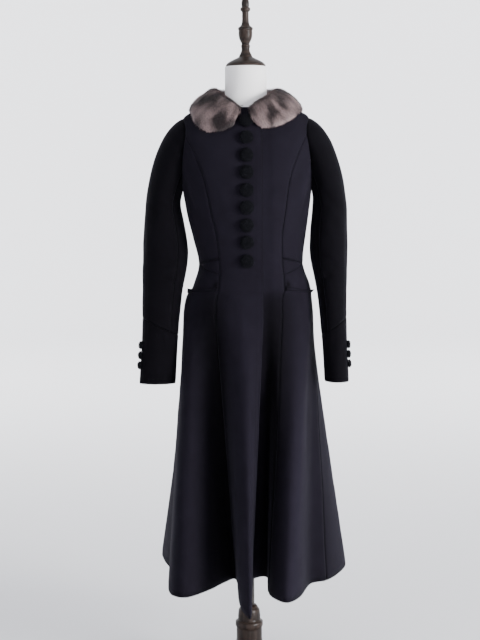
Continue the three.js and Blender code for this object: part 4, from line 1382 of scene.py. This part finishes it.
def buildStitches():
    stitch = stitchObject()
    above = 0.15
    levels = np.concatenate([np.linspace(0.05, 9, 300), np.linspace(9, 10.98, 220)[1:]])
    edge = cloth["overlapEdge"]
    front = [relieved(-angleOf(edge - inset, levels), levels, above) for inset in (4.5, 16)]
    sew("front_edge_stitches", front, stitch)
    for side in sides:
        column = np.linspace(0.15, sleeveColumns - 0.15, 160)
        row = np.full(160, len(sectionRows[side]) - 0.17)
        base, normal = sleeveSurface(side, column, row), sleeveNormal(side, column, row)
        cuff = base + normal * (sleeveRelief(side, base) + above)[..., None]
        sew(f"cuff_stitches_{side}", [cuff], stitch)
        lines = []
        for inset in (0.2, 0.8):
            base, normal, lift = weltPlace(side, np.linspace(0.03, 0.97, 60), inset)
            lines.append(base + normal * (lift + above)[..., None])
        sew(f"welt_stitches_{side}", lines, stitch)
    bpy.data.objects.remove(stitch)


def wire(name, path, radius, slotName):
    # a bent wire through a row of points
    path, count = np.array(path, float), 12
    dense = smoothRows(path, np.linspace(0, len(path) - 1, 8 * len(path)))
    tangent = unit(np.gradient(dense, axis=0))
    across = unit(np.cross(tangent, np.array([0.1, 1.0, 0.2])))
    other = np.cross(tangent, across)
    turn = np.linspace(0, 2 * np.pi, count, endpoint=False)[:, None]
    rows = dense[:, None] + radius * (across[:, None] * np.cos(turn) + other[:, None] * np.sin(turn))
    faces = ringFaces(len(rows), count, flipped=True)
    faces += [list(range(count))[::-1], [(len(rows) - 1) * count + c for c in range(count)]]
    piece = makeObject(name, rows.reshape(-1, 3), faces)
    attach(piece, "root")
    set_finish(piece, slotName)


# the hook's own points, to the right, up and out of the cloth, then its two eyes
hook = [(-7, -4, 1.4), (-3, -4.5, 1.2), (2, -2, 1.4), (6, 0, 2.6), (6.5, 1.6, 4.0), (3, 1.0, 4.2)]
eyes = {"at": (-22, -14), "wide": 3.2, "tall": 3.0, "out": 1.6, "wire": 0.7}


def buildHook():
    # a bent hook and two small loops at the top of the fronts
    point, normal = coatSurface(-angleOf(4, 0.03), 0.03)
    right, up = np.array([1.0, 0, 0]), np.array([0, 0, 1.0])
    place = lambda x, z, y: point + right * x + up * z + normal * y
    wire("neck_hook", [place(*spot) for spot in hook], 0.75, "pole_steel")
    for n, x in enumerate(eyes["at"]):
        turns = np.linspace(0.4, 5.9, 9)
        flat = [(x + eyes["wide"] * math.cos(t), 1.0 + eyes["tall"] * math.sin(t)) for t in turns]
        loop = [place(*spot, eyes["out"] - 0.02 * abs(x)) for spot in flat]
        wire(f"neck_eye_{n + 1}", loop, eyes["wire"], "pole_steel")


fringeBlade = bladeObject("fibre", 0.10, 2, 0.3)
for n, side in enumerate(sides):
    for m, node in enumerate(("front", "side_skirt", "side_back", "back", "sleeve_cuff")):
        buildFringe(node, side, fringeBlade, 60 + 10 * n + m)
bpy.data.objects.remove(fringeBlade)
buildStitches()
buildHook()
print("coat: edges frayed, stitched and hooked")

for piece in list(bpy.data.objects):
    name = piece.get("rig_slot")
    if piece.type == "MESH" and name in materials:
        piece.data.materials.clear()
        piece.data.materials.append(materials[name])

# room, light and camera


def plainMaterial(name, colour, rough):
    book = Book(name)
    cloudy = book.noise(book.place(), 0.8, 2.0)
    tone = book.mix(cloudy, tuple(0.985 * c for c in colour), colour)
    return book.finish({"Base Color": tone, "Roughness": rough, "Specular IOR Level": 0.1})


def buildRoom():
    # a floor that curves up into a round wall
    radius, bend, count = 11.0, 3.0, 96
    turn = np.linspace(0, np.pi / 2, 12)
    profile = [(0.0, 0.0), (4.0, 0.0)]
    profile += [(radius - bend + bend * math.sin(t), bend - bend * math.cos(t)) for t in turn]
    profile += [(radius, 7.0)]
    rows = spun((np.array(profile) - [0, 0.0006]) / milli, count)
    room = makeObject("room", rows.reshape(-1, 3), ringFaces(len(profile), count, flipped=True))
    room.data.materials.append(plainMaterial("pale_paint", (0.80, 0.80, 0.82), 0.9))


def areaLight(name, place, target, size, power):
    data = bpy.data.lights.new(name, "AREA")
    data.shape, data.size, data.energy = "DISK", size, power
    lamp = bpy.data.objects.new(name, data)
    lamp.location = place
    lamp.rotation_mode = "QUATERNION"
    lamp.rotation_quaternion = (Vector(place) - Vector(target)).to_track_quat("Z", "Y")
    bpy.context.scene.collection.objects.link(lamp)


buildRoom()
areaLight("key_light", (3.7, -2.6, 1.5), (0, 0, 0.6), 1.8, 430)
areaLight("fill_light", (-2.6, -4.2, 2.2), (0, 0, 1.1), 2.4, 15)
for x in (-4.5, 4.5):
    areaLight("wall_light", (x, 3.5, 4.6), (0.5 * x, 11, 1.5), 3.0, 780)

world = bpy.data.worlds.new("studio")
world.use_nodes = True
background = world.node_tree.nodes["Background"]
background.inputs["Color"].default_value = (0.93, 0.95, 1.0, 1)
background.inputs["Strength"].default_value = 1.28
bpy.context.scene.world = world

camera = bpy.data.objects.new("camera", bpy.data.cameras.new("camera"))
lens = {
    "lens": 77.2, "sensor_width": 36, "sensor_fit": "AUTO", "shift_y": -0.06,
    "clip_start": 0.05, "clip_end": 60,
}
for key, value in lens.items():
    setattr(camera.data, key, value)
camera.data.dof.use_dof = False
eye = {"place": (-0.018, -3.5, 1.26), "down": 3.96, "roll": -0.387}
pitch = Matrix.Rotation(math.radians(90 - eye["down"]), 4, "X")
roll = Matrix.Rotation(math.radians(eye["roll"]), 4, "Z")
camera.matrix_world = Matrix.Translation(eye["place"]) @ pitch @ roll
bpy.context.scene.collection.objects.link(camera)
bpy.context.scene.camera = camera
print("room: lit")
